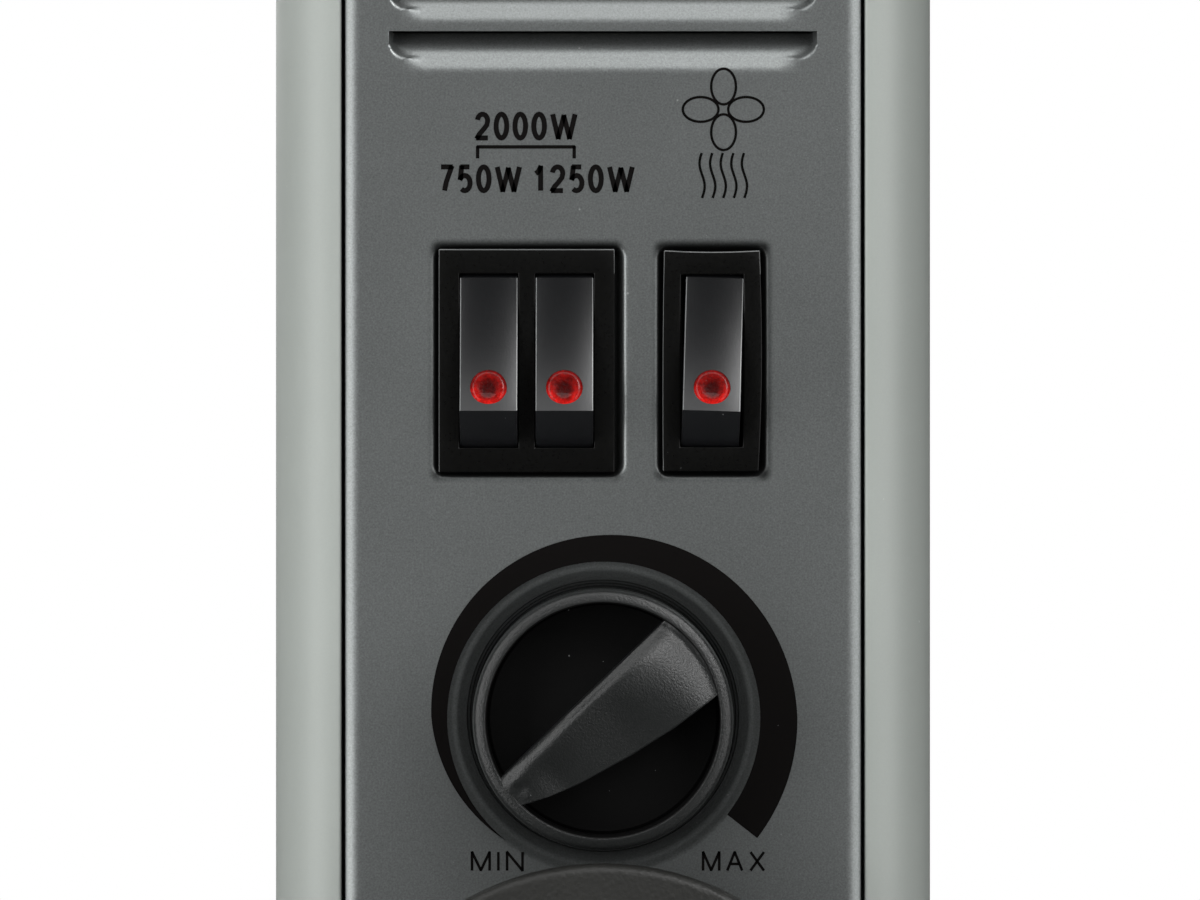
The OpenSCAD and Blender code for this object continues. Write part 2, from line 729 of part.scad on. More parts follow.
rocker_colour = [0.13, 0.14, 0.14];
module rocker_750w() { color(rocker_colour) place_rocker(-double_x - rocker_gap / 2) rocker_level(); }
module rocker_1250w() { color(rocker_colour) place_rocker(-double_x + rocker_gap / 2) rocker_level(); }
module rocker_fan() { color(rocker_colour) place_rocker(single_x) rocker_level(); }
module lens_750w() { color("darkred") place_rocker(-double_x - rocker_gap / 2) lens_level(); }
module lens_1250w() { color("darkred") place_rocker(-double_x + rocker_gap / 2) lens_level(); }
module lens_fan() { color("darkred") place_rocker(single_x) lens_level(); }

// Thermostat

module thermostat_body() {
    color("ivory") translate([0, 0, knob_z]) difference() {
        union() {
            at_depth(thermostat_front) plate_y(thermostat_d) square([thermostat_w, 26], center = true);
            at_depth(thermostat_front - 3) rod_y(7, 3 + tiny);
            for (x = [-8, 0, 8]) translate([x, 0, -10]) at_depth(thermostat_front + thermostat_d - tiny)
                translate([-3, 0, -0.4]) cube([6, 7, 0.8]);
        }
        at_depth(thermostat_front - 4) rod_y(spindle_r + running, 16);
    }
}

module thermostat_spindle() {
    start = -spindle_out;
    color("silver") translate([0, 0, knob_z]) at_depth(start)
        rod_y(spindle_r, thermostat_front + 11 - start);
}

module knob_grip() {
    rotate(pointer_angle + 180) polygon([
        [-knob_r + 0.4, -grip_narrow / 2], [knob_r - 2.4, -grip_wide / 2],
        [knob_r - 0.4, -grip_wide / 4], [knob_r - 0.4, grip_wide / 4],
        [knob_r - 2.4, grip_wide / 2], [-knob_r + 0.4, grip_narrow / 2]]);
}

module control_knob() {
    boss_r = 6;
    color([0.1, 0.1, 0.1]) translate([0, 0, knob_z]) difference() {
        union() {
            at_depth(-knob_pocket_out) rod_y(knob_r, knob_pocket_out - 2, 96);
            difference() {
                at_depth(-knob_rim_out) rod_y(knob_r, knob_rim_out + knob_back_d, 96);
                at_depth(-knob_rim_out - 1) rod_y(knob_r - knob_rim_w, knob_rim_out + knob_back_d + 2, 96);
            }
            at_depth(-knob_out) plate_y(knob_out - 3) intersection() {
                knob_grip();
                circle(knob_r, $fn = 96);
            }
            at_depth(-3) rod_y(boss_r, 3 + knob_back_d);
        }
        at_depth(-spindle_out) rod_y(spindle_r, spindle_out + 4);
    }
}

// Fan unit

module fan_duct() {
    arm = 5;
    color([0.25, 0.25, 0.25]) translate([0, 0, fan_z]) difference() {
        union() {
            at_depth(duct_d0) plate_y(duct_d1 - duct_d0) round_rect(duct_w, duct_w, 4);
            for (x = [-duct_leg_x, duct_leg_x], z = [-duct_r, duct_r]) translate([x, 0, z])
                at_depth(sheet + fit_gap) rod_y(duct_leg_r, duct_d0 - sheet - fit_gap + tiny, 32);
        }
        at_depth(duct_d0 - 1) rod_y(duct_r, duct_d1 - duct_d0 - 2, 96);
        at_depth(duct_d1 - 4) plate_y(6) difference() {
            circle(duct_r, $fn = 96);
            circle(14, $fn = 64);
            for (a = [45, 135]) rotate(a) square([2 * duct_r, arm], center = true);
        }
        at_depth(duct_d1 - 5) rod_y(fan_shaft_r + 1, 8);
    }
}

module fan_motor() {
    stack = [46, 16, 40];
    color("silver") translate([0, 0, fan_z]) difference() {
        union() {
            at_depth(duct_d1) translate([-stack[0] / 2, 5, -stack[2] / 2]) cube(stack);
            at_depth(duct_d1 + fit_gap) rod_y(12, 26);
        }
        at_depth(duct_d1 - 1) rod_y(fan_shaft_r + running, 20);
    }
}

module fan_impeller() {
    blade_r = duct_r - blade_gap;
    color("whitesmoke") translate([0, 0, fan_z]) at_depth(impeller_d) {
        translate([0, -fan_hub_l / 2, 0]) rod_y(fan_hub_r, fan_hub_l, 64);
        rod_y(fan_shaft_r, duct_d1 + 16 - impeller_d, 32);
        intersection() {
            for (i = [0:blade_count - 1]) rotate([0, i * 360 / blade_count, 0])
                translate([fan_hub_r - 1, 0, 0]) rotate([38, 0, 0])
                    translate([0, -0.6, -9]) cube([blade_r, 1.2, 18]);
            translate([0, -7, 0]) rod_y(blade_r, 14, 96);
        }
    }
}

module coil_ring(r, wire) {
    rotate([90, 0, 0]) rotate_extrude($fn = 96) translate([r, 0]) circle(wire, $fn = 24);
}

// Two crossed mica boards that hold the heater wire in front of the fan.
module coil_frame() {
    board = [2 * (duct_r - 0.3), 12, 0.8];
    color("burlywood") translate([0, 0, fan_z]) at_depth(coil_d) difference() {
        for (a = [0, 90]) rotate([0, a, 0]) cube(board, center = true);
        for (r = coil_rings) coil_ring(r, coil_wire_r + fit_gap);
    }
}

module heater_coil() {
    color("dimgray") translate([0, 0, fan_z]) at_depth(coil_d)
        for (r = coil_rings) coil_ring(r, coil_wire_r);
}

// Wiring side

module terminal_block() {
    ways = 5;
    pitch = 11;
    color("ivory") translate([0, 0, block_z]) at_depth(housing_d - sheet - fit_gap - 15) difference() {
        translate([-ways * pitch / 2, 0, -9]) cube([ways * pitch, 15, 18]);
        for (i = [0:ways - 1]) translate([(i - (ways - 1) / 2) * pitch, -1, 0]) {
            translate([0, 0, 4]) rod_y(3, 8, 32);
            translate([0, 6, -10]) cylinder(r = 2.2, h = 8, $fn = 24);
        }
    }
}

// An open-fronted case with a pin hole, fixed to the housing's back.
module tilt_switch_case() {
    size = [26, 18, 34];
    wall = 2;
    color("black") translate([tilt_x, panel_y + tilt_d, tilt_z]) difference() {
        union() {
            translate([-size[0] / 2, 0, -size[2] / 2]) cube(size);
            translate([-8, size[1] - tiny, -8])
                cube([16, housing_d - sheet - fit_gap - tilt_d - size[1] + tiny, 23]);
        }
        translate([wall - size[0] / 2, -1, wall - size[2] / 2])
            cube([size[0] - 2 * wall, size[1] - wall + 1, size[2] - 2 * wall]);
        translate([0, size[1] - 3, 10]) rod_y(pendulum_pin_r + running, 8);
    }
}

// The weight that hangs in the tilt switch and swings when the heater tips.
module tilt_pendulum() {
    color("goldenrod") translate([tilt_x, panel_y + tilt_d, tilt_z + 10]) {
        translate([0, 4, 0]) rod_y(pendulum_pin_r, 18.5, 32);
        translate([0, 5, 0]) rod_y(2.6, 6, 32);
        translate([-1, 5, -15]) cube([2, 6, 14]);
        translate([0, 4, -16]) rod_y(4.5, 8, 48);
    }
}

// The flanged bush in the bottom cap that the mains lead passes through.
module cord_gland() {
    color("black") translate([gland_x, panel_y + gland_d, housing_z]) difference() {
        union() {
            translate([0, 0, -2]) cylinder(r = gland_flange_r, h = 2, $fn = 64);
            translate([0, 0, -2]) cylinder(r = gland_r, h = cap_t + 4, $fn = 64);
            translate([0, 0, cap_t + fit_gap]) cylinder(r = gland_r + 1.2, h = 2 - fit_gap, $fn = 64);
        }
        translate([0, 0, -3]) cylinder(r = gland_bore_r, h = cap_t + 8, $fn = 64);
    }
}

function winder_mid() = winder_top - winder_h / 2;
function winder_screw_heights() = [winder_mid() - 16, winder_mid() + 16];

// One horn and its hub, with the arched edge up, measured down from the winder's top edge.
module winder_horn() {
    horn_h = 38;
    hub = [38, 18];
    translate([0, -winder_out, 0]) plate_y(horn_t) intersection() {
        translate([0, -horn_arch_r]) circle(horn_arch_r, $fn = 128);
        translate([-winder_w / 2, -horn_h]) square([winder_w, horn_h + 1]);
    }
    translate([0, -winder_out + horn_t - tiny, 0]) plate_y(winder_out - horn_t + tiny - fit_gap)
        translate([-hub[0] / 2, -horn_h]) square(hub);
}

module cord_winder() {
    base_t = 3;
    color([0.17, 0.18, 0.17]) translate([0, panel_y, winder_mid()]) difference() {
        union() {
            for (s = [-1, 1]) rotate([0, s < 0 ? 180 : 0, 0]) translate([0, 0, winder_h / 2]) winder_horn();
            translate([0, -base_t - fit_gap, 0]) plate_y(base_t)
                square([38, winder_h - 2 * 37], center = true);
        }
        for (z = winder_screw_heights())
            translate([0, -base_t - 1, z - winder_mid()]) rod_y(screw_r, base_t + 2);
    }
}

// Internal leads: each route runs from one piece's terminal to another's, in x, depth and height.
wire_r = 1.3;
wire_routes = [
    [[-11, 68, block_z - 12], [-12, 62, block_z - 40], [-14, 54, block_z - 100],
        [-8, 56, low_hub_z + 30], [-6, hub_front_d - 17, low_hub_z + 8]],
    [[0, 68, block_z + 12], [4, 58, block_z + 30], [20, 46, knob_z + 4],
        [26, 42, switch_z - 24], [single_x, 34, switch_z - 9]],
    [[-22, 68, block_z + 12], [-26, 56, block_z + 30], [-30, 46, knob_z + 12],
        [-28, 42, switch_z - 18], [-rocker_gap / 2 - double_x, 34, switch_z - 9]],
    [[11, 68, block_z + 12], [14, 64, block_z + 50], [22, 66, switch_z],
        [26, 64, fan_z - 60], [18, 62, fan_z - 22]],
    [[gland_x, 60, housing_z + 14], [gland_x, 60, housing_z + 42], [gland_x - 2, 58, block_z - 100],
        [gland_x, 60, block_z - 40], [-22, 68, block_z - 12]]];

module wiring() {
    color("sienna") for (route = wire_routes)
        tube([for (p = route) [p[0], panel_y + p[1], p[2]]], wire_r);
}

// Feet

// A pressed bracket under the fins: a channel with a saddle for the header and a flat end for each caster.
module foot(y) {
    flange_w = 2 * (caster_x - 34);
    flange_h = 8;
    saddle_top = low_hub_z - 12;
    color([0.2, 0.21, 0.21]) translate([0, y, 0]) difference() {
        union() {
            translate([0, 0, foot_z]) linear_extrude(foot_t) round_rect(foot_w, foot_d, 14);
            for (s = [-1, 1])
                translate([-flange_w / 2, s * (foot_d - foot_t) / 2 - foot_t / 2, foot_z - flange_h])
                cube([flange_w, foot_t, flange_h + tiny]);
            for (s = [-1, 1]) translate([0, s * 10 - foot_t / 2, 0]) plate_y(foot_t) difference() {
                translate([-hub_r + 1, foot_z + foot_t - tiny])
                    square([2 * hub_r - 2, saddle_top - foot_z - foot_t]);
                translate([0, low_hub_z]) circle(hub_r + fit_gap, $fn = 96);
            }
        }
        for (x = [-caster_x, caster_x]) translate([x, 0, foot_z - 1])
            cylinder(r = stem_r + running, h = foot_t + 2, $fn = 48);
        for (x = [-ubolt_x, ubolt_x]) translate([x, 0, foot_z - 1])
            cylinder(r = ubolt_r + 0.4, h = foot_t + 2, $fn = 32);
    }
}

module foot_front() { foot(foot_front_y); }
module foot_rear() { foot(foot_rear_y); }

module u_bolts() {
    end_z = foot_z - 14;
    color("silver") for (y = [foot_front_y, foot_rear_y]) translate([0, y, 0]) {
        for (x = [-ubolt_x, ubolt_x]) translate([x, 0, end_z])
            cylinder(r = ubolt_r, h = low_hub_z - end_z, $fn = 32);
        translate([0, 0, low_hub_z]) rotate([90, 0, 0]) rotate_extrude(angle = 180, $fn = 96)
            translate([ubolt_x, 0]) circle(ubolt_r, $fn = 32);
    }
}

module wing_nuts() {
    nut_h = 6;
    color("silver") for (y = [foot_front_y, foot_rear_y], x = [-ubolt_x, ubolt_x])
        translate([x, y, foot_z - nut_h - fit_gap]) difference() {
            union() {
                cylinder(r = 5.5, h = nut_h, $fn = 48);
                for (s = [-1, 1]) rotate([0, s * 25, 0]) translate([s * 8 - 4, -1.2, -4]) cube([8, 2.4, 8]);
            }
            translate([0, 0, -8]) cylinder(r = ubolt_r + fit_gap, h = nut_h + 20, $fn = 32);
            translate([-20, -20, nut_h]) cube([40, 40, 12]);
        }
}

function caster_y(c) = c[0] == "f" ? foot_front_y : foot_rear_y;
function caster_side(c) = c[1] == "l" ? -1 : 1;

module at_caster(c) {
    translate([caster_side(c) * caster_x, caster_y(c), 0]) children();
}

// The swivel fork with its stem, which a push-on cap holds above the bracket.
module caster_fork(c) {
    leg_x = wheel_w / 2 + fork_gap;
    crown_top = fork_crown_z + crown_t;
    color([0.13, 0.13, 0.13]) at_caster(c) difference() {
        union() {
            translate([0, 0, fork_crown_z]) linear_extrude(crown_t) {
                circle(race_r, $fn = 64);
                translate([-leg_x - fork_plate, 0]) square([2 * (leg_x + fork_plate), trail + 9]);
            }
            translate([0, 0, crown_top - tiny]) cylinder(r = race_r - 3, h = race_h + tiny, $fn = 64);
            cap_z = foot_z + foot_t + swivel_gap;
            translate([0, 0, crown_top]) cylinder(r = stem_r, h = cap_z + 3 - crown_top, $fn = 48);
            translate([0, 0, cap_z]) cylinder(r = stem_r + 4, h = 3, $fn = 48);
            for (s = [-1, 1]) translate([s * (leg_x + fork_plate / 2), 0, 0]) bar_x(fork_plate) {
                polygon([[-3, fork_crown_z + tiny], [trail - 8, wheel_r - 2], [trail + 8, wheel_r - 2],
                    [trail + 9, fork_crown_z + tiny]]);
                translate([trail, wheel_r]) circle(8, $fn = 48);
            }
        }
        translate([0, trail, wheel_r]) rotate([0, 90, 0])
            cylinder(r = axle_r + fit_gap, h = 60, center = true, $fn = 48);
    }
}

module axle(c) {
    shank = wheel_w + 2 * (fork_gap + fork_plate);
    color("silver") at_caster(c) translate([0, trail, wheel_r]) rotate([0, 90, 0]) {
        cylinder(r = axle_r, h = shank + 0.2, center = true, $fn = 48);
        for (s = [-1, 1]) translate([0, 0, s * (shank / 2 + 0.8)])
            cylinder(r = axle_r + 1.6, h = 1.4, center = true, $fn = 48);
    }
}

module wheel(c) {
    rim_r = wheel_r - 4;
    dish = 3;
    half = wheel_w / 2;
    color([0.1, 0.1, 0.1]) at_caster(c) translate([0, trail, wheel_r]) rotate([0, 90, 0])
        rotate_extrude($fn = 96) polygon([
            [axle_r + running, -half], [7, -half], [7, dish - half], [rim_r, dish - half], [rim_r, 1.5 - half],
            [wheel_r - 1.5, 1.5 - half], [wheel_r, 3 - half], [wheel_r, half - 3], [wheel_r - 1.5, half - 1.5],
            [rim_r, half - 1.5], [rim_r, half - dish], [7, half - dish], [7, half], [axle_r + running, half]]);
}

for (i = [1:fin_count]) fin(i);
header_caps();
element_750w();
element_1250w();
element_head();
overheat_cutout();
housing_shell();
front_panel();
top_cap();
bottom_cap();
heat_shield();
carry_handle();
cover_screws();
shield_nuts();
double_switch_body();
rocker_750w();
rocker_1250w();
lens_750w();
lens_1250w();
fan_switch_body();
rocker_fan();
lens_fan();
thermostat_body();
thermostat_spindle();
control_knob();
fan_duct();
fan_motor();
fan_impeller();
coil_frame();
heater_coil();
terminal_block();
tilt_switch_case();
tilt_pendulum();
cord_gland();
cord_winder();
wiring();
foot_front();
foot_rear();
u_bolts();
wing_nuts();
for (c = corners) {
    caster_fork(c);
    axle(c);
    wheel(c);
}
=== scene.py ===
"""Oil filled radiator heater: the looks of the control front, radiator, handle and feet.

Lengths inside the classes are millimetres in the part's own frame: +X right, -Y towards
the viewer of the controls, +Z up, the origin on the floor under the middle.
"""

import logging
import math
from collections.abc import Callable, Iterable, Sequence
from dataclasses import dataclass
from enum import Enum
from typing import Protocol

import bmesh
import bpy
from mathutils import Matrix, Vector


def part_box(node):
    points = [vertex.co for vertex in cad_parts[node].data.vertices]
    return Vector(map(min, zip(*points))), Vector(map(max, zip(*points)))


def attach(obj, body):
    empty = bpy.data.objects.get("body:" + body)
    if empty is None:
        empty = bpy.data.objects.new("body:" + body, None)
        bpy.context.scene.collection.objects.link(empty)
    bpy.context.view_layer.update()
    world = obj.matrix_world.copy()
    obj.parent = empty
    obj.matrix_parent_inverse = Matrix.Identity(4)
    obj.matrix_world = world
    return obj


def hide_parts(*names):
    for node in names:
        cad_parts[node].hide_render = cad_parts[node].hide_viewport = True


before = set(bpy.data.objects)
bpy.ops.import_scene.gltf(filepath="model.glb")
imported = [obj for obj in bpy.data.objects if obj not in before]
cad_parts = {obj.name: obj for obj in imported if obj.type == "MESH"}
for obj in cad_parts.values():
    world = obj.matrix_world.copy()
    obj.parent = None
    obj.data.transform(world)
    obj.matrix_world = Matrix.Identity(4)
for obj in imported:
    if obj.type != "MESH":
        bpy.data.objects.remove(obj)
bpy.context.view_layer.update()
MM = 0.001
LOG = logging.getLogger("heater")

Point = tuple[float, float, float]
Flat = tuple[float, float]
Colour = tuple[float, float, float]
Rect = tuple[float, float, float, float]

KNOB_Z = 348.0
SWITCH_Z = 397.4
PAINT_DUST: Colour = (0.55, 0.56, 0.55)
PLASTIC_DUST: Colour = (0.4, 0.41, 0.41)
ROCKER_DUST: Colour = (0.4, 0.41, 0.42)


def smooth(a: float, b: float, x: float) -> float:
    """Returns 0 before a, 1 after b, and an eased value between them."""
    t = min(1.0, max(0.0, (x - a) / (b - a)))
    return t * t * (3.0 - 2.0 * t)


def span(start: float, end: float, step: float) -> list[float]:
    """Returns even stops from start up to but not including end, at most step apart."""
    count = max(1, math.ceil((end - start) / step - 1e-6))
    return [start + (end - start) * i / count for i in range(count)]


def box_mm(node: str) -> tuple[Vector, Vector]:
    """Returns a CAD node's lowest and highest corners in millimetres."""
    low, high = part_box(node)
    return Vector(low) / MM, Vector(high) / MM


class Turn(Enum):
    """Which way a flat drawing (u, v) and its thickness w stand in the part."""

    FRONT = "front"
    SIDE = "side"
    LEVEL = "level"

    def place(self, u: float, v: float, w: float) -> Point:
        """Returns the point for drawing coordinates u, v at thickness w.

        Args:
            u: First coordinate of the drawing.
            v: Second coordinate of the drawing.
            w: Distance along the thickness.

        Returns:
            The point in the part's frame, before it is moved.
        """
        if self is Turn.FRONT:
            return (u, w, v)
        if self is Turn.SIDE:
            return (w, u, v)
        return (u, v, w)


# Shaders


class Sock:
    """One shader socket that Python arithmetic turns into Math nodes."""

    def __init__(self, recipe: "Recipe", socket: bpy.types.NodeSocket) -> None:
        """Keeps the socket and the recipe that its nodes go into."""
        self.recipe = recipe
        self.socket = socket

    def math(
        self, operation: str, *others: "Sock | float", first: "Sock | float | None" = None
    ) -> "Sock":
        """Adds a Math node.

        Args:
            operation: The Math node's operation.
            others: The operands that follow this one.
            first: An operand that goes before this one, for the reflected forms.

        Returns:
            The node's result.
        """
        values = [self, *others] if first is None else [first, self, *others]
        return self.recipe.add("ShaderNodeMath", {"operation": operation}, dict(enumerate(values)))

    def __add__(self, other: "Sock | float") -> "Sock":
        """Returns the sum."""
        return self.math("ADD", other)

    __radd__ = __add__

    def __mul__(self, other: "Sock | float") -> "Sock":
        """Returns the product."""
        return self.math("MULTIPLY", other)

    __rmul__ = __mul__

    def __sub__(self, other: "Sock | float") -> "Sock":
        """Returns the difference."""
        return self.math("SUBTRACT", other)

    def __rsub__(self, other: float) -> "Sock":
        """Returns the reflected difference."""
        return self.math("SUBTRACT", first=other)

    def __pow__(self, other: float) -> "Sock":
        """Returns the power."""
        return self.math("POWER", other)

    def __lt__(self, other: "Sock | float") -> "Sock":
        """Returns 1 where this is less, else 0."""
        return self.math("LESS_THAN", other)

    def eased(self, low: float, high: float) -> "Sock":
        """Returns 0 at low and 1 at high, eased and clamped between them."""
        settings = {"interpolation_type": "SMOOTHSTEP"}
        values = {"Value": self, "From Min": low, "From Max": high}
        return self.recipe.add("ShaderNodeMapRange", settings, values)


class Recipe:
    """One material and the nodes that make it."""

    def __init__(self, name: str) -> None:
        """Starts an empty material with one principled shader."""
        self.material = bpy.data.materials.new(name)
        self.material.use_nodes = True
        self.tree = self.material.node_tree
        self.tree.nodes.clear()
        self.shader = self.tree.nodes.new("ShaderNodeBsdfPrincipled")
        output = self.tree.nodes.new("ShaderNodeOutputMaterial")
        self.tree.links.new(self.shader.outputs[0], output.inputs["Surface"])
        self._place: Sock | None = None

    def feed(self, target: bpy.types.NodeSocket, value: "Sock | float | Sequence[float]") -> None:
        """Links a socket to a value's node, or sets the value on it."""
        if isinstance(value, Sock):
            self.tree.links.new(value.socket, target)
        elif hasattr(value, "__len__") and len(value) == 3 and len(target.default_value) == 4:
            target.default_value = (*value, 1.0)
        else:
            target.default_value = value

    def add(
        self, kind: str, settings: dict | None = None, inputs: dict | None = None,
        out: int | str = 0,
    ) -> Sock:
        """Adds a node of any type.

        Args:
            kind: The node's type.
            settings: Its properties, which are set first.
            inputs: Values or links for its sockets, by name or number.
            out: Which output to return.

        Returns:
            The chosen output.
        """
        node = self.tree.nodes.new(kind)
        for name, value in (settings or {}).items():
            setattr(node, name, value)
        for name, value in (inputs or {}).items():
            self.feed(node.inputs[name], value)
        return Sock(self, node.outputs[out])

    def place(self) -> Sock:
        """Returns the surface point in metres in the part's frame."""
        if self._place is None:
            self._place = self.add("ShaderNodeTexCoord", out="Object")
        return self._place

    def axis(self, name: str) -> Sock:
        """Returns one coordinate, X, Y or Z, of the surface point in millimetres."""
        return self.add("ShaderNodeSeparateXYZ", None, {0: self.place()}, out=name) * (1.0 / MM)

    def noise(
        self, size: float, detail: float = 2.0, stretch: Point = (1.0, 1.0, 1.0), rough: float = 0.5
    ) -> Sock:
        """Adds smooth noise whose features are about size millimetres across.

        Args:
            size: Size of the features.
            detail: Octaves of finer noise.
            stretch: How much longer the features are along each axis.
            rough: Weight of the finer octaves.

        Returns:
            The noise value, about 0.5 on average.
        """
        scale = tuple(1.0 / s for s in stretch)
        vector = self.add("ShaderNodeMapping", None, {"Vector": self.place(), "Scale": scale})
        scale = 1.0 / (size * MM)
        values = {"Vector": vector, "Scale": scale, "Detail": detail, "Roughness": rough}
        return self.add("ShaderNodeTexNoise", None, values)

    def cells(self, size: float, out: str = "Distance", feature: str = "F1") -> Sock:
        """Adds a cell pattern with cells about size millimetres across."""
        values = {"Vector": self.place(), "Scale": 1.0 / (size * MM)}
        return self.add("ShaderNodeTexVoronoi", {"feature": feature}, values, out)

    def specks(self, spacing: float, radius: float, share: float) -> Sock:
        """Returns 1 on small round specks such as dust.

        Args:
            spacing: Size of the cells that may hold a speck each.
            radius: Radius of a speck as a share of the spacing.
            share: Share of the cells that hold one.

        Returns:
            The mask.
        """
        chance = self.add("ShaderNodeSeparateColor", None, {0: self.cells(spacing, "Color")})
        return (self.cells(spacing) < radius) * (chance < share)

    def mix(
        self, factor: Sock | float, a: "Sock | Sequence[float]", b: "Sock | Sequence[float]"
    ) -> Sock:
        """Mixes two colours.

        Args:
            factor: 0 for the first colour, 1 for the second.
            a: The first colour.
            b: The second colour.

        Returns:
            The mixed colour.
        """
        return self.add("ShaderNodeMix", {"data_type": "RGBA"}, {0: factor, 6: a, 7: b}, out=2)

    def scaled(self, colour: "Sock | Sequence[float]", amount: Sock) -> Sock:
        """Returns a colour made lighter or darker by a factor that varies."""
        values = {0: colour, 3: amount}
        return self.add("ShaderNodeVectorMath", {"operation": "SCALE"}, values)

    def bump(self, height: Sock, depth: float, under: Sock | None = None) -> Sock:
        """Turns a height from 0 to 1 into a normal.

        Args:
            height: The relief.
            depth: Depth of the relief in millimetres.
            under: A coarser bump's result that this one lies on.

        Returns:
            The normal.
        """
        inputs: dict = {"Height": height, "Distance": depth * MM, "Strength": 1.0}
        if under is not None:
            inputs["Normal"] = under
        return self.add("ShaderNodeBump", None, inputs)

    def finish(self, **sockets: "Sock | float | Sequence[float]") -> bpy.types.Material:
        """Feeds the shader's sockets, named with _ for a space, and returns the material."""
        for name, value in sockets.items():
            self.feed(self.shader.inputs[name.replace("_", " ")], value)
        return self.material


class Finish(Protocol):
    """What every finish offers."""

    @property
    def name(self) -> str:
        """Returns the material's name."""

    def make(self) -> bpy.types.Material:
        """Returns the material."""


@dataclass(frozen=True)
class SheetPaint:
    """Paint on sheet metal: fine flakes, slight orange peel, dust, faint handling marks, painted
    shade in dips.
    """

    name: str
    colour: Colour
    roughness: float = 0.4
    metallic: float = 0.0
    flake: float = 0.1
    flake_size: float = 0.16
    peel: float = 0.02
    peel_size: float = 1.6
    dust: float = 0.0
    coat: float = 0.0
    shade_rects: tuple[Rect, ...] = ()
    disc_shade: float = 0.18
    disc_edge: Flat = (18.6, 20.5)
    tray_shade: float = 0.1
    tray_edge: Flat = (0.3, 1.7)

    def recess_shade(self, r: Recipe) -> Sock:
        """Returns the painted shade: darker paint in the dips beside the switches and the knob."""
        x, z = r.axis("X"), r.axis("Z")
        out = (x * x + (z - KNOB_Z) * (z - KNOB_Z)) ** 0.5
        # painted shade in the knob's dish, darkest next to the knob
        kept = out.eased(*self.disc_edge) * (1.0 - self.disc_shade) + self.disc_shade
        # painted shade in each switch tray, darkest next to the bezel
        for x0, x1, z0, z1 in self.shade_rects:
            dx = ((x - (x0 + x1) / 2).math("ABSOLUTE") - (x1 - x0) / 2).math("MAXIMUM", 0.0)
            dz = ((z - (z0 + z1) / 2).math("ABSOLUTE") - (z1 - z0) / 2).math("MAXIMUM", 0.0)
            away = ((dx * dx + dz * dz) ** 0.5).eased(*self.tray_edge)
            kept = kept * (away * (1.0 - self.tray_shade) + self.tray_shade)
        return kept

    def make(self) -> bpy.types.Material:
        """Returns the material."""
        r = Recipe(self.name)
        flakes = r.noise(self.flake_size, 3.0, rough=0.7)
        cloud = r.noise(38.0, 3.0)
        streak = r.noise(9.0, 2.0, stretch=(6.0, 6.0, 1.0))
        tone = 1.0 + (flakes - 0.5) * (2.0 * self.flake)
        tone = tone + (cloud - 0.5) * 0.1 + (streak - 0.5) * 0.03
        # painted shade: the paint is darkened round the knob and in the switch trays, where shade
        # falls
        if self.shade_rects:
            tone = tone * self.recess_shade(r)
        colour = r.scaled(self.colour, tone)
        if self.dust > 0.0:
            dust = r.specks(3.4, 0.045, self.dust) + r.specks(1.3, 0.05, self.dust * 0.35)
            colour = r.mix(dust * 0.55, colour, PAINT_DUST)
        rough = self.roughness + (cloud - 0.5) * 0.08 + (flakes - 0.5) * 0.12
        peel = r.bump(r.noise(self.peel_size, 2.0), self.peel)
        normal = r.bump(flakes, 0.006, peel)
        return r.finish(
            Base_Color=colour, Roughness=rough, Metallic=self.metallic, Normal=normal,
            Coat_Weight=self.coat, Coat_Roughness=0.12,
        )


@dataclass(frozen=True)
class Moulding:
    """Moulded plastic or rubber with a fine texture from its mould."""

    name: str
    colour: Colour
    roughness: float = 0.5
    grain: float = 0.3
    depth: float = 0.03
    detail: float = 3.0
    rub_and_sheen: float = 0.04
    dust: float = 0.0
    specular: float = 0.5

    def make(self) -> bpy.types.Material:
        """Returns the material."""
        r = Recipe(self.name)
        grain = r.noise(self.grain, self.detail, rough=0.6)
        cloud = r.noise(11.0, 3.0)
        tone = 1.0 + (grain - 0.5) * 0.5 + (cloud - 0.5) * 0.25
        colour = r.scaled(self.colour, tone)
        if self.dust > 0.0:
            dust = r.specks(2.4, 0.05, self.dust) + r.specks(0.9, 0.06, self.dust * 0.3)
            colour = r.mix(dust * 0.5, colour, PLASTIC_DUST)
        rough = self.roughness + (grain - 0.5) * 0.15 - (cloud - 0.5) * self.rub_and_sheen * 2.0
        return r.finish(
            Base_Color=colour, Roughness=rough, Specular_IOR_Level=self.specular,
            Normal=r.bump(grain, self.depth),
        )


@dataclass(frozen=True)
class LeatherGrain:
    """Plastic with a coarse pebbled leather grain."""

    name: str
    colour: Colour
    roughness: float = 0.5
    grain: float = 0.9
    depth: float = 0.12
    specular: float = 0.3

    def make(self) -> bpy.types.Material:
        """Returns the material."""
        r = Recipe(self.name)
        warp = r.noise(1.8, 2.0)
        pebbles = r.cells(self.grain, "Distance", "SMOOTH_F1")
        height = (1.0 - pebbles) * 0.6 + warp * 0.3 + r.noise(0.28, 3.0) * 0.25
        tone = 0.75 + height * 0.4 + (r.noise(14.0) - 0.5) * 0.3
        rough = self.roughness + (height - 0.5) * -0.15
        return r.finish(
            Base_Color=r.scaled(self.colour, tone), Roughness=rough,
            Specular_IOR_Level=self.specular, Normal=r.bump(height, self.depth),
        )


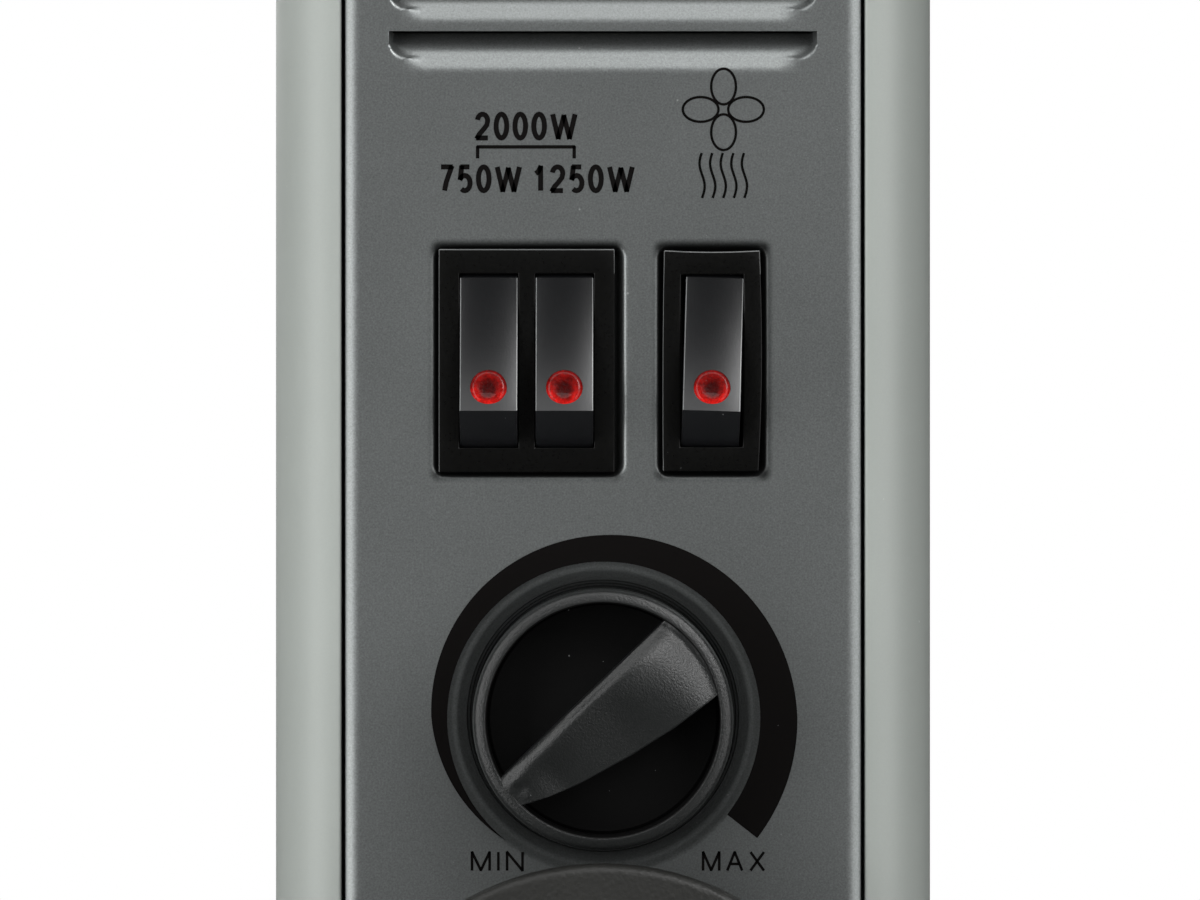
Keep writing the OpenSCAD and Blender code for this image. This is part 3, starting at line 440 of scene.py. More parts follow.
@dataclass(frozen=True)
class BareMetal:
    """Unpainted metal: rolled, turned or plated, with fine lines and dull spots."""

    name: str
    colour: Colour
    roughness: float = 0.3
    lines: Point = (1.0, 1.0, 1.0)
    stain: float = 0.15

    def make(self) -> bpy.types.Material:
        """Returns the material."""
        r = Recipe(self.name)
        lines = r.noise(0.35, 3.0, stretch=self.lines)
        cloud = r.noise(9.0, 4.0)
        tone = 1.0 + (lines - 0.5) * 0.25 - (cloud.eased(0.5, 0.75)) * self.stain
        rough = self.roughness + (cloud - 0.5) * 0.25 + (lines - 0.5) * 0.15
        return r.finish(
            Base_Color=r.scaled(self.colour, tone), Roughness=rough, Metallic=1.0,
            Normal=r.bump(lines, 0.01),
        )


@dataclass(frozen=True)
class RockerFace:
    """Satin rocker plastic with painted light: lighter towards its lower, proud end, where light
    falls.
    """

    name: str
    colour: Colour
    low: float
    high: float

    def make(self) -> bpy.types.Material:
        """Returns the material."""
        r = Recipe(self.name)
        grain = r.noise(0.22, 3.0, rough=0.7)
        # painted light: the lower part of the face is made lighter, as the light from above falls
        # there
        lower_end_light = 1.0 - r.axis("Z").eased(self.low, self.high)
        tone = 0.8 + lower_end_light * 0.55 + (grain - 0.5) * 0.5
        dust = r.specks(1.5, 0.05, 0.12)
        colour = r.mix(dust * 0.45, r.scaled(self.colour, tone), ROCKER_DUST)
        rough = 0.32 + (grain - 0.5) * 0.16
        return r.finish(
            Base_Color=colour, Roughness=rough, Specular_IOR_Level=0.5, Normal=r.bump(grain, 0.01)
        )


@dataclass(frozen=True)
class LampLens:
    """A red lens with painted light: a glowing ring, brighter at its lower side, dark over the lamp
    behind it.
    """

    name: str
    deep: Colour
    bright: Colour

    def make(self) -> bpy.types.Material:
        """Returns the material."""
        r = Recipe(self.name)
        box = r.add("ShaderNodeTexCoord", out="Generated")
        x = r.add("ShaderNodeSeparateXYZ", None, {0: box}, out="X") * 2.0 - 1.0
        z = r.add("ShaderNodeSeparateXYZ", None, {0: box}, out="Z") * 2.0 - 1.0
        out = (x * x + z * z) ** 0.5
        facets = r.noise(0.6, 3.0, rough=0.75).eased(0.28, 0.72)
        # painted light: a ring brighter towards the rim and the lower side, also sent out as
        # emission, as the lens catches the light
        low = 1.0 - z.eased(-0.9, 0.55)
        ring, rim = 0.1 + out.eased(0.25, 0.8) * 0.9, 1.0 - out.eased(0.93, 1.0) * 0.6
        painted_glow = ring * (0.28 + low * 0.8) * (0.45 + facets * 0.9) * rim
        colour = r.mix(painted_glow, self.deep, self.bright)
        return r.finish(
            Base_Color=colour, Roughness=0.24, Coat_Weight=0.3, Coat_Roughness=0.02,
            Specular_IOR_Level=0.06, Emission_Color=r.scaled(self.bright, painted_glow * 0.7),
            Emission_Strength=0.55, Normal=r.bump(facets, 0.05),
        )


@dataclass(frozen=True)
class FloorBoard:
    """A plain pale studio floor."""

    name: str
    colour: Colour

    def make(self) -> bpy.types.Material:
        """Returns the material."""
        r = Recipe(self.name)
        tone = 1.0 + (r.noise(160.0, 3.0) - 0.5) * 0.02
        return r.finish(Base_Color=r.scaled(self.colour, tone), Roughness=0.75)


PALE_PAINT = SheetPaint("pale_paint", (0.31, 0.332, 0.312), 0.5, 0.0, 0.05, 0.3, 0.018, 1.8, 0.06,
                        0.0)
FIN_PAINT = SheetPaint("fin_paint", (0.3, 0.322, 0.303), 0.45, 0.0, 0.05, 0.3, 0.03, 2.2, 0.05, 0.1)
# the rectangles last in the list are the switch trays that take the painted shade
PANEL_PAINT = SheetPaint("panel_paint", (0.2, 0.212, 0.21), 0.38, 0.75, 0.55, 0.26, 0.006, 1.4,
                         0.13, 0.0, ((-22.8, 1.6, 381.9, 412.9), (8.25, 22.15, 381.9, 412.9)))
FOOT_PAINT = SheetPaint("foot_paint", (0.045, 0.048, 0.047), 0.42, 0.2, 0.25, 0.2, 0.02, 1.6, 0.05,
                        0.0)
CAP_PLASTIC = Moulding("cap_plastic", (0.04, 0.043, 0.043), 0.5, 0.45, 0.05)
HANDLE_PLASTIC = Moulding("handle_plastic", (0.03, 0.032, 0.032), 0.46, 0.4, 0.05)
KNOB_PLASTIC = Moulding("knob_plastic", (0.012, 0.013, 0.0128), 0.34, 0.3, 0.075, 3.0, 0.04, 0.05,
                        0.42)
# painted shade: a darker, duller copy of the knob plastic for the pocket's wall and floor, which
# lie in shade
POCKET_SHADE = Moulding("pocket_shade_plastic", (0.003, 0.003, 0.003), 0.5, 0.3, 0.003, 2.0, 0.02, 0.1,
                          0.12)
BEZEL_PLASTIC = Moulding("bezel_plastic", (0.0028, 0.0028, 0.0026), 0.3, 0.5, 0.0008, 2.0, 0.02,
                         0.05, 0.2)
# painted highlight: a lighter, shinier plastic laid on the rounded edges where the light catches
# them
EDGE_HIGHLIGHT = Moulding("painted_edge_highlight", (0.11, 0.115, 0.115), 0.3, 0.8, 0.004, 3.0, 0.04, 0.0, 0.7)
WINDER_PLASTIC = LeatherGrain("winder_plastic", (0.018, 0.018, 0.0165), 0.48, 0.62, 0.13)
PRINT_INK = Moulding("print_ink", (0.0028, 0.0022, 0.002), 0.6, 0.3, 0.002, 2.0, 0.02, 0.03, 0.06)
LENS_RED = LampLens("lens_red", (0.012, 0.0008, 0.0008), (0.5, 0.008, 0.006))
ZINC = BareMetal("fastener_zinc", (0.52, 0.52, 0.5), 0.3)
SHIELD = BareMetal("shield_steel", (0.55, 0.55, 0.54), 0.34, (8.0, 1.0, 1.0))
SPINDLE = BareMetal("spindle_steel", (0.5, 0.5, 0.5), 0.28)
SHEATH = BareMetal("element_sheath", (0.5, 0.27, 0.16), 0.4)
ALLOY = BareMetal("cutout_alloy", (0.6, 0.6, 0.6), 0.36)
LAMINATE = BareMetal("motor_steel", (0.36, 0.36, 0.36), 0.42, (6.0, 1.0, 1.0))
COIL = BareMetal("coil_wire", (0.2, 0.19, 0.18), 0.5)
BRASS = BareMetal("pendulum_brass", (0.6, 0.42, 0.16), 0.3)
STEATITE = Moulding("stat_ceramic", (0.68, 0.64, 0.54), 0.6, 0.5, 0.03)
IVORY = Moulding("block_plastic", (0.62, 0.6, 0.52), 0.5, 0.4, 0.02)
DUCT = Moulding("duct_plastic", (0.03, 0.03, 0.03), 0.55, 0.5, 0.03)
BLADES = Moulding("impeller_plastic", (0.55, 0.55, 0.53), 0.45, 0.6, 0.02)
MICA = Moulding("mica_board", (0.4, 0.34, 0.25), 0.4, 1.2, 0.06)
RUBBER = Moulding("gland_rubber", (0.012, 0.012, 0.012), 0.6, 0.4, 0.04)
SLEEVE = Moulding("wire_sleeve", (0.2, 0.06, 0.02), 0.5, 0.4, 0.02)
NYLON = Moulding("caster_plastic", (0.018, 0.018, 0.018), 0.42, 0.5, 0.04)
TREAD = Moulding("wheel_plastic", (0.012, 0.012, 0.012), 0.5, 0.5, 0.05)


class Store:
    """Makes each finish once."""

    made: dict[str, bpy.types.Material] = {}

    @classmethod
    def get(cls, finish: Finish) -> bpy.types.Material:
        """Returns the material of a finish."""
        if finish.name not in cls.made:
            cls.made[finish.name] = finish.make()
        return cls.made[finish.name]


# Shapes


class Form:
    """Points and faces in millimetres, gathered before they become one mesh."""

    def __init__(self) -> None:
        """Starts empty."""
        self.points: list[Point] = []
        self.faces: list[tuple[int, ...]] = []
        self.slots: list[int] = []

    def add(self, points: Iterable[Point], faces: Iterable[Sequence[int]]) -> "Form":
        """Adds points, and faces in the first slot that count from the first of them."""
        base = len(self.points)
        self.points.extend(tuple(p) for p in points)
        for face in faces:
            self.faces.append(tuple(base + i for i in face))
            self.slots.append(0)
        return self

    def join(self, other: "Form", slot: int | None = None) -> "Form":
        """Adds another form, in one material slot if that is given."""
        base = len(self.points)
        self.points.extend(other.points)
        self.faces.extend(tuple(base + i for i in f) for f in other.faces)
        self.slots.extend(other.slots if slot is None else [slot] * len(other.faces))
        return self

    def moved(self, x: float = 0.0, y: float = 0.0, z: float = 0.0) -> "Form":
        """Shifts every point."""
        self.points = [(a + x, b + y, c + z) for a, b, c in self.points]
        return self

    def turned(self, degrees: float, axis: str) -> "Form":
        """Turns every point about an axis through the origin."""
        m = Matrix.Rotation(math.radians(degrees), 3, axis)
        self.points = [tuple(m @ Vector(p)) for p in self.points]
        return self

    def mapped(self, rule: Callable[[Point], Point]) -> "Form":
        """Passes every point through a rule."""
        self.points = [rule(p) for p in self.points]
        return self

    def thickened(self, inward: Sequence[Point]) -> "Form":
        """Closes an open skin into a shell.

        Args:
            inward: For each point, the step from the outer skin to the inner one.

        Returns:
            This form, closed.
        """
        count = len(self.points)
        edges: dict[tuple[int, int], int] = {}
        for face in self.faces:
            for a, b in zip(face, face[1:] + face[:1]):
                edges[(a, b)] = edges.get((a, b), 0) + 1
        rim = [(a, b) for a, b in edges if (b, a) not in edges]
        skin, slots = list(self.faces), list(self.slots)
        self.points += [tuple(p[i] + d[i] for i in range(3)) for p, d in zip(self.points, inward)]
        self.faces += [tuple(count + i for i in reversed(f)) for f in skin]
        self.faces += [(b, a, count + a, count + b) for a, b in rim]
        self.slots += slots + [0] * len(rim)
        return self

    def build(
        self,
        name: str,
        finishes: Sequence[Finish],
        angle: float = 35.0,
        bevel: float = 0.0,
        segments: int = 2,
        tidy: bool = True,
        highlit: Callable[[Vector, Vector], bool] | None = None,
    ) -> bpy.types.Object:
        """Makes the mesh object.

        Args:
            name: The piece's name.
            finishes: A finish for each material slot.
            angle: Edges sharper than this stay sharp.
            bevel: Width of a rounding on sharp edges, in millimetres.
            segments: Facets across the rounding.
            tidy: Merge doubled points and turn the faces outwards.
            highlit: From a rounding's middle in millimetres and its normal, whether it takes the
                second finish, a painted highlight.

        Returns:
            The object, in metres.
        """
        mesh = bpy.data.meshes.new(name)
        mesh.from_pydata([(x * MM, y * MM, z * MM) for x, y, z in self.points], [], self.faces)
        mesh.polygons.foreach_set("material_index", self.slots)
        if tidy or bevel > 0.0:
            bm = bmesh.new()
            bm.from_mesh(mesh)
            bmesh.ops.remove_doubles(bm, verts=bm.verts, dist=1e-6)
            bmesh.ops.recalc_face_normals(bm, faces=bm.faces)
            if bevel > 0.0:
                limit = math.radians(angle)
                paired = (e for e in bm.edges if len(e.link_faces) == 2)
                sharp = [e for e in paired if e.calc_face_angle() > limit]
                made = bmesh.ops.bevel(bm, geom=sharp, offset=bevel * MM, segments=segments,
                                       profile=0.5, affect="EDGES", clamp_overlap=True)
                for face in made["faces"] if highlit else ():
                    middle = face.calc_center_median() / MM
                    face.material_index = 1 if highlit(middle, face.normal) else 0
            bm.to_mesh(mesh)
            bm.free()
        for finish in finishes:
            mesh.materials.append(Store.get(finish))
        mesh.shade_smooth()
        mesh.set_sharp_from_angle(angle=math.radians(angle))
        obj = bpy.data.objects.new(name, mesh)
        bpy.context.scene.collection.objects.link(obj)
        return obj


def grid(rows: Sequence[Sequence[Point]], around: bool = False, caps: bool = False) -> Form:
    """Joins rows of points into quads.

    Args:
        rows: Rows with the same number of points each.
        around: Whether each row closes on itself.
        caps: Whether the first and last rows are filled.

    Returns:
        The skin.
    """
    wide = len(rows[0])
    faces = []
    for r in range(len(rows) - 1):
        for c in range(wide if around else wide - 1):
            d = (c + 1) % wide
            faces.append((r * wide + c, r * wide + d, (r + 1) * wide + d, (r + 1) * wide + c))
    if caps:
        faces.append(tuple(reversed(range(wide))))
        faces.append(tuple((len(rows) - 1) * wide + c for c in range(wide)))
    return Form().add([p for row in rows for p in row], faces)


def lathe(profile: Sequence[Flat], segments: int, turn: Turn) -> Form:
    """Turns a profile of (radius, height) about an axis.

    Args:
        profile: The profile; a radius of 0 closes an end, else the profile closes on itself.
        segments: Facets around.
        turn: Which way it stands; the height runs along the drawing's thickness.

    Returns:
        The body.
    """
    points: list[Point] = []
    rings: list[list[int]] = []
    for radius, height in profile:
        if radius < 1e-6:
            rings.append([len(points)] * segments)
            points.append((0.0, 0.0, height))
        else:
            rings.append(list(range(len(points), len(points) + segments)))
            for i in range(segments):
                a = 2.0 * math.pi * i / segments
                points.append((radius * math.cos(a), radius * math.sin(a), height))
    closed = profile[0][0] > 1e-6 and profile[-1][0] > 1e-6
    faces = []
    for k in range(len(rings) if closed else len(rings) - 1):
        low, high = rings[k], rings[(k + 1) % len(rings)]
        for i in range(segments):
            j = (i + 1) % segments
            face = dict.fromkeys((low[i], low[j], high[j], high[i]))
            if len(face) > 2:
                faces.append(tuple(face))
    return Form().add(points, faces).mapped(lambda p: turn.place(*p))


def arc(cx: float, cy: float, radius: float, start: float, end: float, steps: int) -> list[Flat]:
    """Returns points on an arc, its angles in degrees."""
    angles = [math.radians(start + (end - start) * i / steps) for i in range(steps + 1)]
    return [(cx + radius * math.cos(a), cy + radius * math.sin(a)) for a in angles]


def round_rect(
    wide: float, high: float, radius: float, cx: float = 0.0, cy: float = 0.0, steps: int = 6
) -> list[Flat]:
    """Returns a rounded rectangle's outline, anticlockwise."""
    x, y = wide / 2 - radius, high / 2 - radius
    corners = [(x, y, 0), (-x, y, 90), (-x, -y, 180), (x, -y, 270)]
    return [p for px, py, a in corners for p in arc(cx + px, cy + py, radius, a, a + 90, steps)]


def inset(outline: Sequence[Flat], amount: float) -> list[Flat]:
    """Moves an anticlockwise outline inwards, along its corners' mean normals.

    Args:
        outline: The outline.
        amount: How far it moves.

    Returns:
        As many points as the outline has.
    """
    kept = [p for i, p in enumerate(outline) if math.dist(p, outline[i - 1]) > 1e-5]
    made = []
    for i, (x, y) in enumerate(outline):
        j = kept.index((x, y)) if (x, y) in kept else kept.index(outline[i - 1])
        ax, ay = kept[j - 1]
        bx, by = kept[(j + 1) % len(kept)]
        px, py = kept[j]
        n1 = Vector((py - ay, ax - px)).normalized()
        n2 = Vector((by - py, px - bx)).normalized()
        n = n1 + n2
        n = n / max(0.35, n.length_squared / 2.0)
        made.append((x - n.x * amount, y - n.y * amount))
    return made


def slab(
    outline: Sequence[Flat], low: float, high: float, turn: Turn, round_low: float = 0.0,
    round_high: float = 0.0, steps: int = 3, edge_slot: int | None = None,
) -> Form:
    """Gives a flat outline a thickness, with rounded edges.

    Args:
        outline: An anticlockwise outline.
        low: Where the thickness starts.
        high: Where it ends.
        turn: Which way the drawing stands.
        round_low: Radius of the rounding at the start.
        round_high: Radius of the rounding at the end.
        steps: Facets across a rounding.
        edge_slot: The roundings' own material slot, where they have one.

    Returns:
        The closed body.
    """
    levels: list[tuple[float, float]] = []
    for i in range(steps + 1 if round_low > 0 else 1):
        a = math.radians(90.0 * i / steps)
        levels.append((round_low * (1 - math.sin(a)), low + round_low * (1 - math.cos(a))))
    for i in range(steps + 1 if round_high > 0 else 1):
        a = math.radians(90.0 * i / steps)
        levels.append((round_high * (1 - math.cos(a)), high - round_high * (1 - math.sin(a))))
    rows = []
    for d, w in levels:
        drawn = inset(outline, d) if d > 1e-6 else outline
        rows.append([turn.place(u, v, w) for u, v in drawn])
    form = grid(rows, around=True, caps=True)
    if edge_slot is not None:
        bands = [i for i in range(len(levels) - 1) if i < steps or i >= len(levels) - 1 - steps]
        for i in bands:
            form.slots[i * len(outline):(i + 1) * len(outline)] = [edge_slot] * len(outline)
    return form


def sweep(path: Sequence[Point], section: Callable[[int], list[Flat]], side: Vector) -> Form:
    """Carries a cross-section along a path.

    Args:
        path: The path's points.
        section: Gives the section's (across, up) points at a point of the path, by its number.
        side: The direction that stays across the section.

    Returns:
        The closed body.
    """
    rows = []
    last = len(path) - 1
    for i, p in enumerate(path):
        along = (Vector(path[min(i + 1, last)]) - Vector(path[max(i - 1, 0)])).normalized()
        up = along.cross(side).normalized()
        across = up.cross(along).normalized()
        rows.append([tuple(Vector(p) + across * u + up * v) for u, v in section(i)])
    return grid(rows, around=True, caps=True)


class Assembly:
    """A group of pieces that are made and placed together."""

    def put(self, obj: bpy.types.Object, body: str, slot: str, *nodes: str) -> bpy.types.Object:
        """Fixes a piece to a body.

        Args:
            obj: The piece.
            body: The CAD body that it rides on.
            slot: The record's material slot; not used.
            nodes: The CAD nodes that it stands for.

        Returns:
            The piece.
        """
        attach(obj, body)
        if nodes:
            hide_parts(*nodes)
        LOG.info("%s rides on %s", obj.name, body)
        return obj

    def dress(self, finish: Finish, *nodes: str) -> None:
        """Gives CAD nodes that stay their finish."""
        for node in nodes:
            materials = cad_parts[node].data.materials
            materials.clear()
            materials.append(Store.get(finish))
            LOG.info("%s dressed", node)


# Sub-assemblies


@dataclass
class FrontPanel(Assembly):
    """The pressed front panel with its louvres, trays, dish and print."""

    edge_radius: float = 2.3
    edge_steepest: float = 34.0
    louvre_half: float = 29.8
    louvre_pitch: float = 6.8
    lip_depth: float = 3.5
    lip_high: float = 5.8
    lip_curve: float = 2.2
    lip_step: float = 0.35
    lip_rows: tuple[float, ...] = (6.6, 6.2, 5.8, 5.4, 5.0, 4.7, 4.4, 4.1, 3.8, 3.5, 3.2, 2.9, 2.6,
                                   2.3, 2.0, 1.7, 1.4, 1.0, 0.6, 0.3, 0.0)
    tray_depth: float = 1.6
    dish_radius: float = 21.4
    dish_reach: float = 24.4
    windows: tuple[Flat, ...] = ((-10.6, 10.4), (15.2, 5.0))
    window_half: float = 13.0
    first_cut: float = 443.2
    low_cut: float = 113.4
    upper_count: int = 17
    lower_count: int = 5
    trays: tuple[Rect, ...] = ((-23.9, 3.3, 380.9, 413.8), (7.2, 23.0, 380.9, 413.8))
    tray_corner: float = 2.2

    def build(self) -> None:
        """Builds the sheet, the dish and the print, and places them."""
        low, high = box_mm("front_panel")
        self.front, self.half, self.bottom, self.top = low.y, high.x, low.z, high.z
        self.flange = high.y - low.y
        runs = ((self.low_cut, self.lower_count), (self.first_cut, self.upper_count))
        self.cuts = [cut + i * self.louvre_pitch for cut, count in runs for i in range(count)]
        self.put(self.sheet(), "heater", "panel_paint", "front_panel")
        self.put(self.dish(), "heater", "panel_paint")
        self.put(self.printing(), "heater", "panel_paint")

    def columns(self) -> list[Flat]:
        """Returns the sheet's columns as (x, depth of the rolled edge)."""
        bend = self.half - self.edge_radius
        steepest = math.radians(self.edge_steepest)
        roll = (self.edge_radius - 0.12) / math.sin(steepest)
        left = [(-self.half, d) for d in (self.flange, 5.0, 1.3)] + [(-self.half + 0.03, 0.95)]
        for i in range(8):
            a = steepest * (1 - i / 8)
            left.append((-bend - roll * math.sin(a), roll * (1 - math.cos(a))))
        bands = ((-31.0, -28.0, 0.25), (-28.0, -25.4, 0.9), (-25.4, -22.4, 0.28), (-22.4, 1.6, 1.5),
                 (1.6, 8.8, 0.28), (8.8, 21.4, 1.4), (21.4, 24.4, 0.28), (24.4, 28.0, 0.9),
                 (28.0, 31.0, 0.25))
        stops = [-bend, -32.0, -31.4]
        for start, end, step in bands:
            stops += span(start, end, step)
        stops += [31.0, 31.4, 32.0, bend]
        return left + [(x, 0.0) for x in stops] + [(-x, d) for x, d in reversed(left)]

    def lip(self, x: float, drop: float) -> float:
        """Returns the depth of a louvre's lip.

        Args:
            x: Distance from the panel's middle.
            drop: How far the point lies below the cut.

        Returns:
            The depth below the panel's face.
        """
        rise = (self.lip_high - drop) / self.lip_high
        if rise <= 0.0 or drop < 0.0:
            return 0.0
        round_off = min(1.0, max(0.0, (drop - 0.9) / 2.9))
        reach = self.louvre_half - 2.5 * (1.0 - math.sqrt(1.0 - round_off ** 2))
        soft = round_off ** 3
        end = 1.0 - smooth(reach - 0.62 - 2.2 * soft, reach + 0.9 * soft, abs(x))
        step = self.lip_step * smooth(0.0, 0.35, rise)
        return (self.lip_depth * rise ** self.lip_curve + step) * end

    def tray(self, x: float, z: float) -> float:
        """Returns how deep the two switch trays are at a point."""
        depth, r = 0.0, self.tray_corner
        for x0, x1, z0, z1 in self.trays:
            dx = max(x0 + r - x, x - x1 + r, 0.0)
            dz = max(z0 + r - z, z - z1 + r, 0.0)
            inward = max(0.0, r + 0.5 - math.hypot(dx, dz))
            gentle = 0.2 * min(inward, 0.9) ** 2
            depth = max(depth, gentle + (self.tray_depth - 0.16) * smooth(0.8, 1.9, inward))
        return depth

    def rows(self) -> list[tuple[float, float | None]]:
        """Returns the sheet's rows as (z, cut); a cut's row comes twice, above it and below."""
        rows: list[tuple[float, float | None]] = []
        low = self.bottom
        for cut in self.cuts:
            rows += [(z, None) for z in self.plain_rows(low, cut - self.lip_rows[0])]
            rows += [(cut - d, cut) for d in self.lip_rows]
            rows.append((cut, None))
            low = cut + 0.25
        return rows + [(z, None) for z in self.plain_rows(low, self.top)] + [(self.top, None)]

    @staticmethod
    def plain_rows(low: float, high: float) -> list[float]:
        """Returns rows between two heights, close together at the trays' edges."""
        bands = ((0.0, 318.0, 9.0), (318.0, 378.6, 1.2), (378.6, 384.0, 0.28), (384.0, 410.6, 2.0),
                 (410.6, 416.0, 0.28), (416.0, 900.0, 2.2))
        stops: list[float] = []
        for start, end, step in bands:
            a, b = max(low, start), min(high, end)
            if b - a > 0.01:
                stops += span(a, b, step)
        return stops

    def depth(self, x: float, z: float, cut: float | None) -> float:
        """Returns how deep the louvre and the trays press the sheet at a point.

        Args:
            x: Distance from the panel's middle.
            z: Height.
            cut: The height of the louvre's cut that the point hangs from, if any.

        Returns:
            The depth below the panel's face.
        """
        pressed = 0.0
        if cut is not None and abs(x) < self.louvre_half + 0.2:
            pressed += self.lip(x, cut - z)
        if abs(x) < 31.0:
            pressed += self.tray(x, z)
        return pressed

    def is_open(self, x0: float, x1: float, z0: float, z1: float) -> bool:
        """Returns whether a patch of the sheet is cut away.

        Args:
            x0: Its left edge.
            x1: Its right edge.
            z0: Its lower edge.
            z1: Its upper edge.

        Returns:
            True at the dish, in a switch's window and along a louvre's slit.
        """
        x, z = (x0 + x1) / 2, (z0 + z1) / 2
        far = max(math.hypot(a, b - KNOB_Z) for a in (x0, x1) for b in (z0, z1))
        window = abs(z - SWITCH_Z) < self.window_half
        window = window and any(abs(x - middle) < half for middle, half in self.windows)
        slit = z1 - z0 < 1e-6 and abs(x) < self.louvre_half - 0.05
        return far < self.dish_radius + 2.2 or window or slit

    def sheet(self) -> bpy.types.Object:
        """Presses the panel's sheet."""
        columns, rows = self.columns(), self.rows()
        points, inward = [], []
        for z, cut in rows:
            for x, base in columns:
                points.append((x, self.front + base + self.depth(x, z, cut), z))
                side = smooth(self.half - self.edge_radius, self.half, abs(x))
                inward.append((-side if x > 0 else side, 1.0 - side * 0.98, 0.0))
        wide = len(columns)
        faces = []
        for r in range(len(rows) - 1):
            for c in range(wide - 1):
                if not self.is_open(columns[c][0], columns[c + 1][0], rows[r][0], rows[r + 1][0]):
                    a = r * wide + c
                    faces.append((a, a + 1, a + wide + 1, a + wide))
        form = Form().add(points, faces).thickened(inward)
        return form.build("front_panel_sheet", [PANEL_PAINT], angle=38.0)

    def dish(self) -> bpy.types.Object:
        """Turns the pressed dish round the knob, with its three fine steps."""
        outer, front = self.dish_radius, -0.02
        face = [(self.dish_reach, front)]
        for t in (0.0, 0.2, 0.4, 0.6, 0.8, 1.0):
            face.append((outer + 0.9 - 1.9 * t, front + 0.95 * smooth(0.0, 1.0, t)))
        face += [(20.1, 1.35), (19.6, 1.75), (19.2, 2.0), (18.95, 2.05), (18.85, 2.3),
                 (18.55, 2.35), (18.45, 2.6), (18.15, 2.65), (18.05, 2.9), (17.4, 3.0), (8.0, 3.05)]
        back = [(r, d + 0.9) for r, d in reversed(face)]
        form = lathe(face + back, 144, Turn.FRONT).moved(y=self.front, z=KNOB_Z)
        return form.build("knob_dish", [PANEL_PAINT], angle=50.0)

    def printing(self) -> bpy.types.Object:
        """Lays the ink: plain ratings, a bracket, a fan sign, MIN, MAX and the swelling arc."""
        ink = Ink(self.front)
        ink.word("2000W", -17.82, -3.53, 427.99, 4.0, 0.7)
        ink.word("750W", -22.86, -11.25, 420.67, 4.0, 0.7)
        ink.word("1250W", -9.76, 4.42, 420.67, 4.0, 0.7)
        ink.line([(-17.42, 425.5), (-17.42, 427.1), (-4.0, 427.1), (-4.0, 425.5)], 0.48)
        ink.word("MIN", -18.38, -11.0, 326.4, 2.95, 0.37)
        ink.word("MAX", 13.72, 22.58, 326.4, 2.95, 0.37)
        ink.fan_sign(16.74, 432.3, 0.36)
        ink.crescent(0.1, KNOB_Z - 0.25, 21.75)
        return ink.form.build("panel_print", [PRINT_INK], tidy=False)


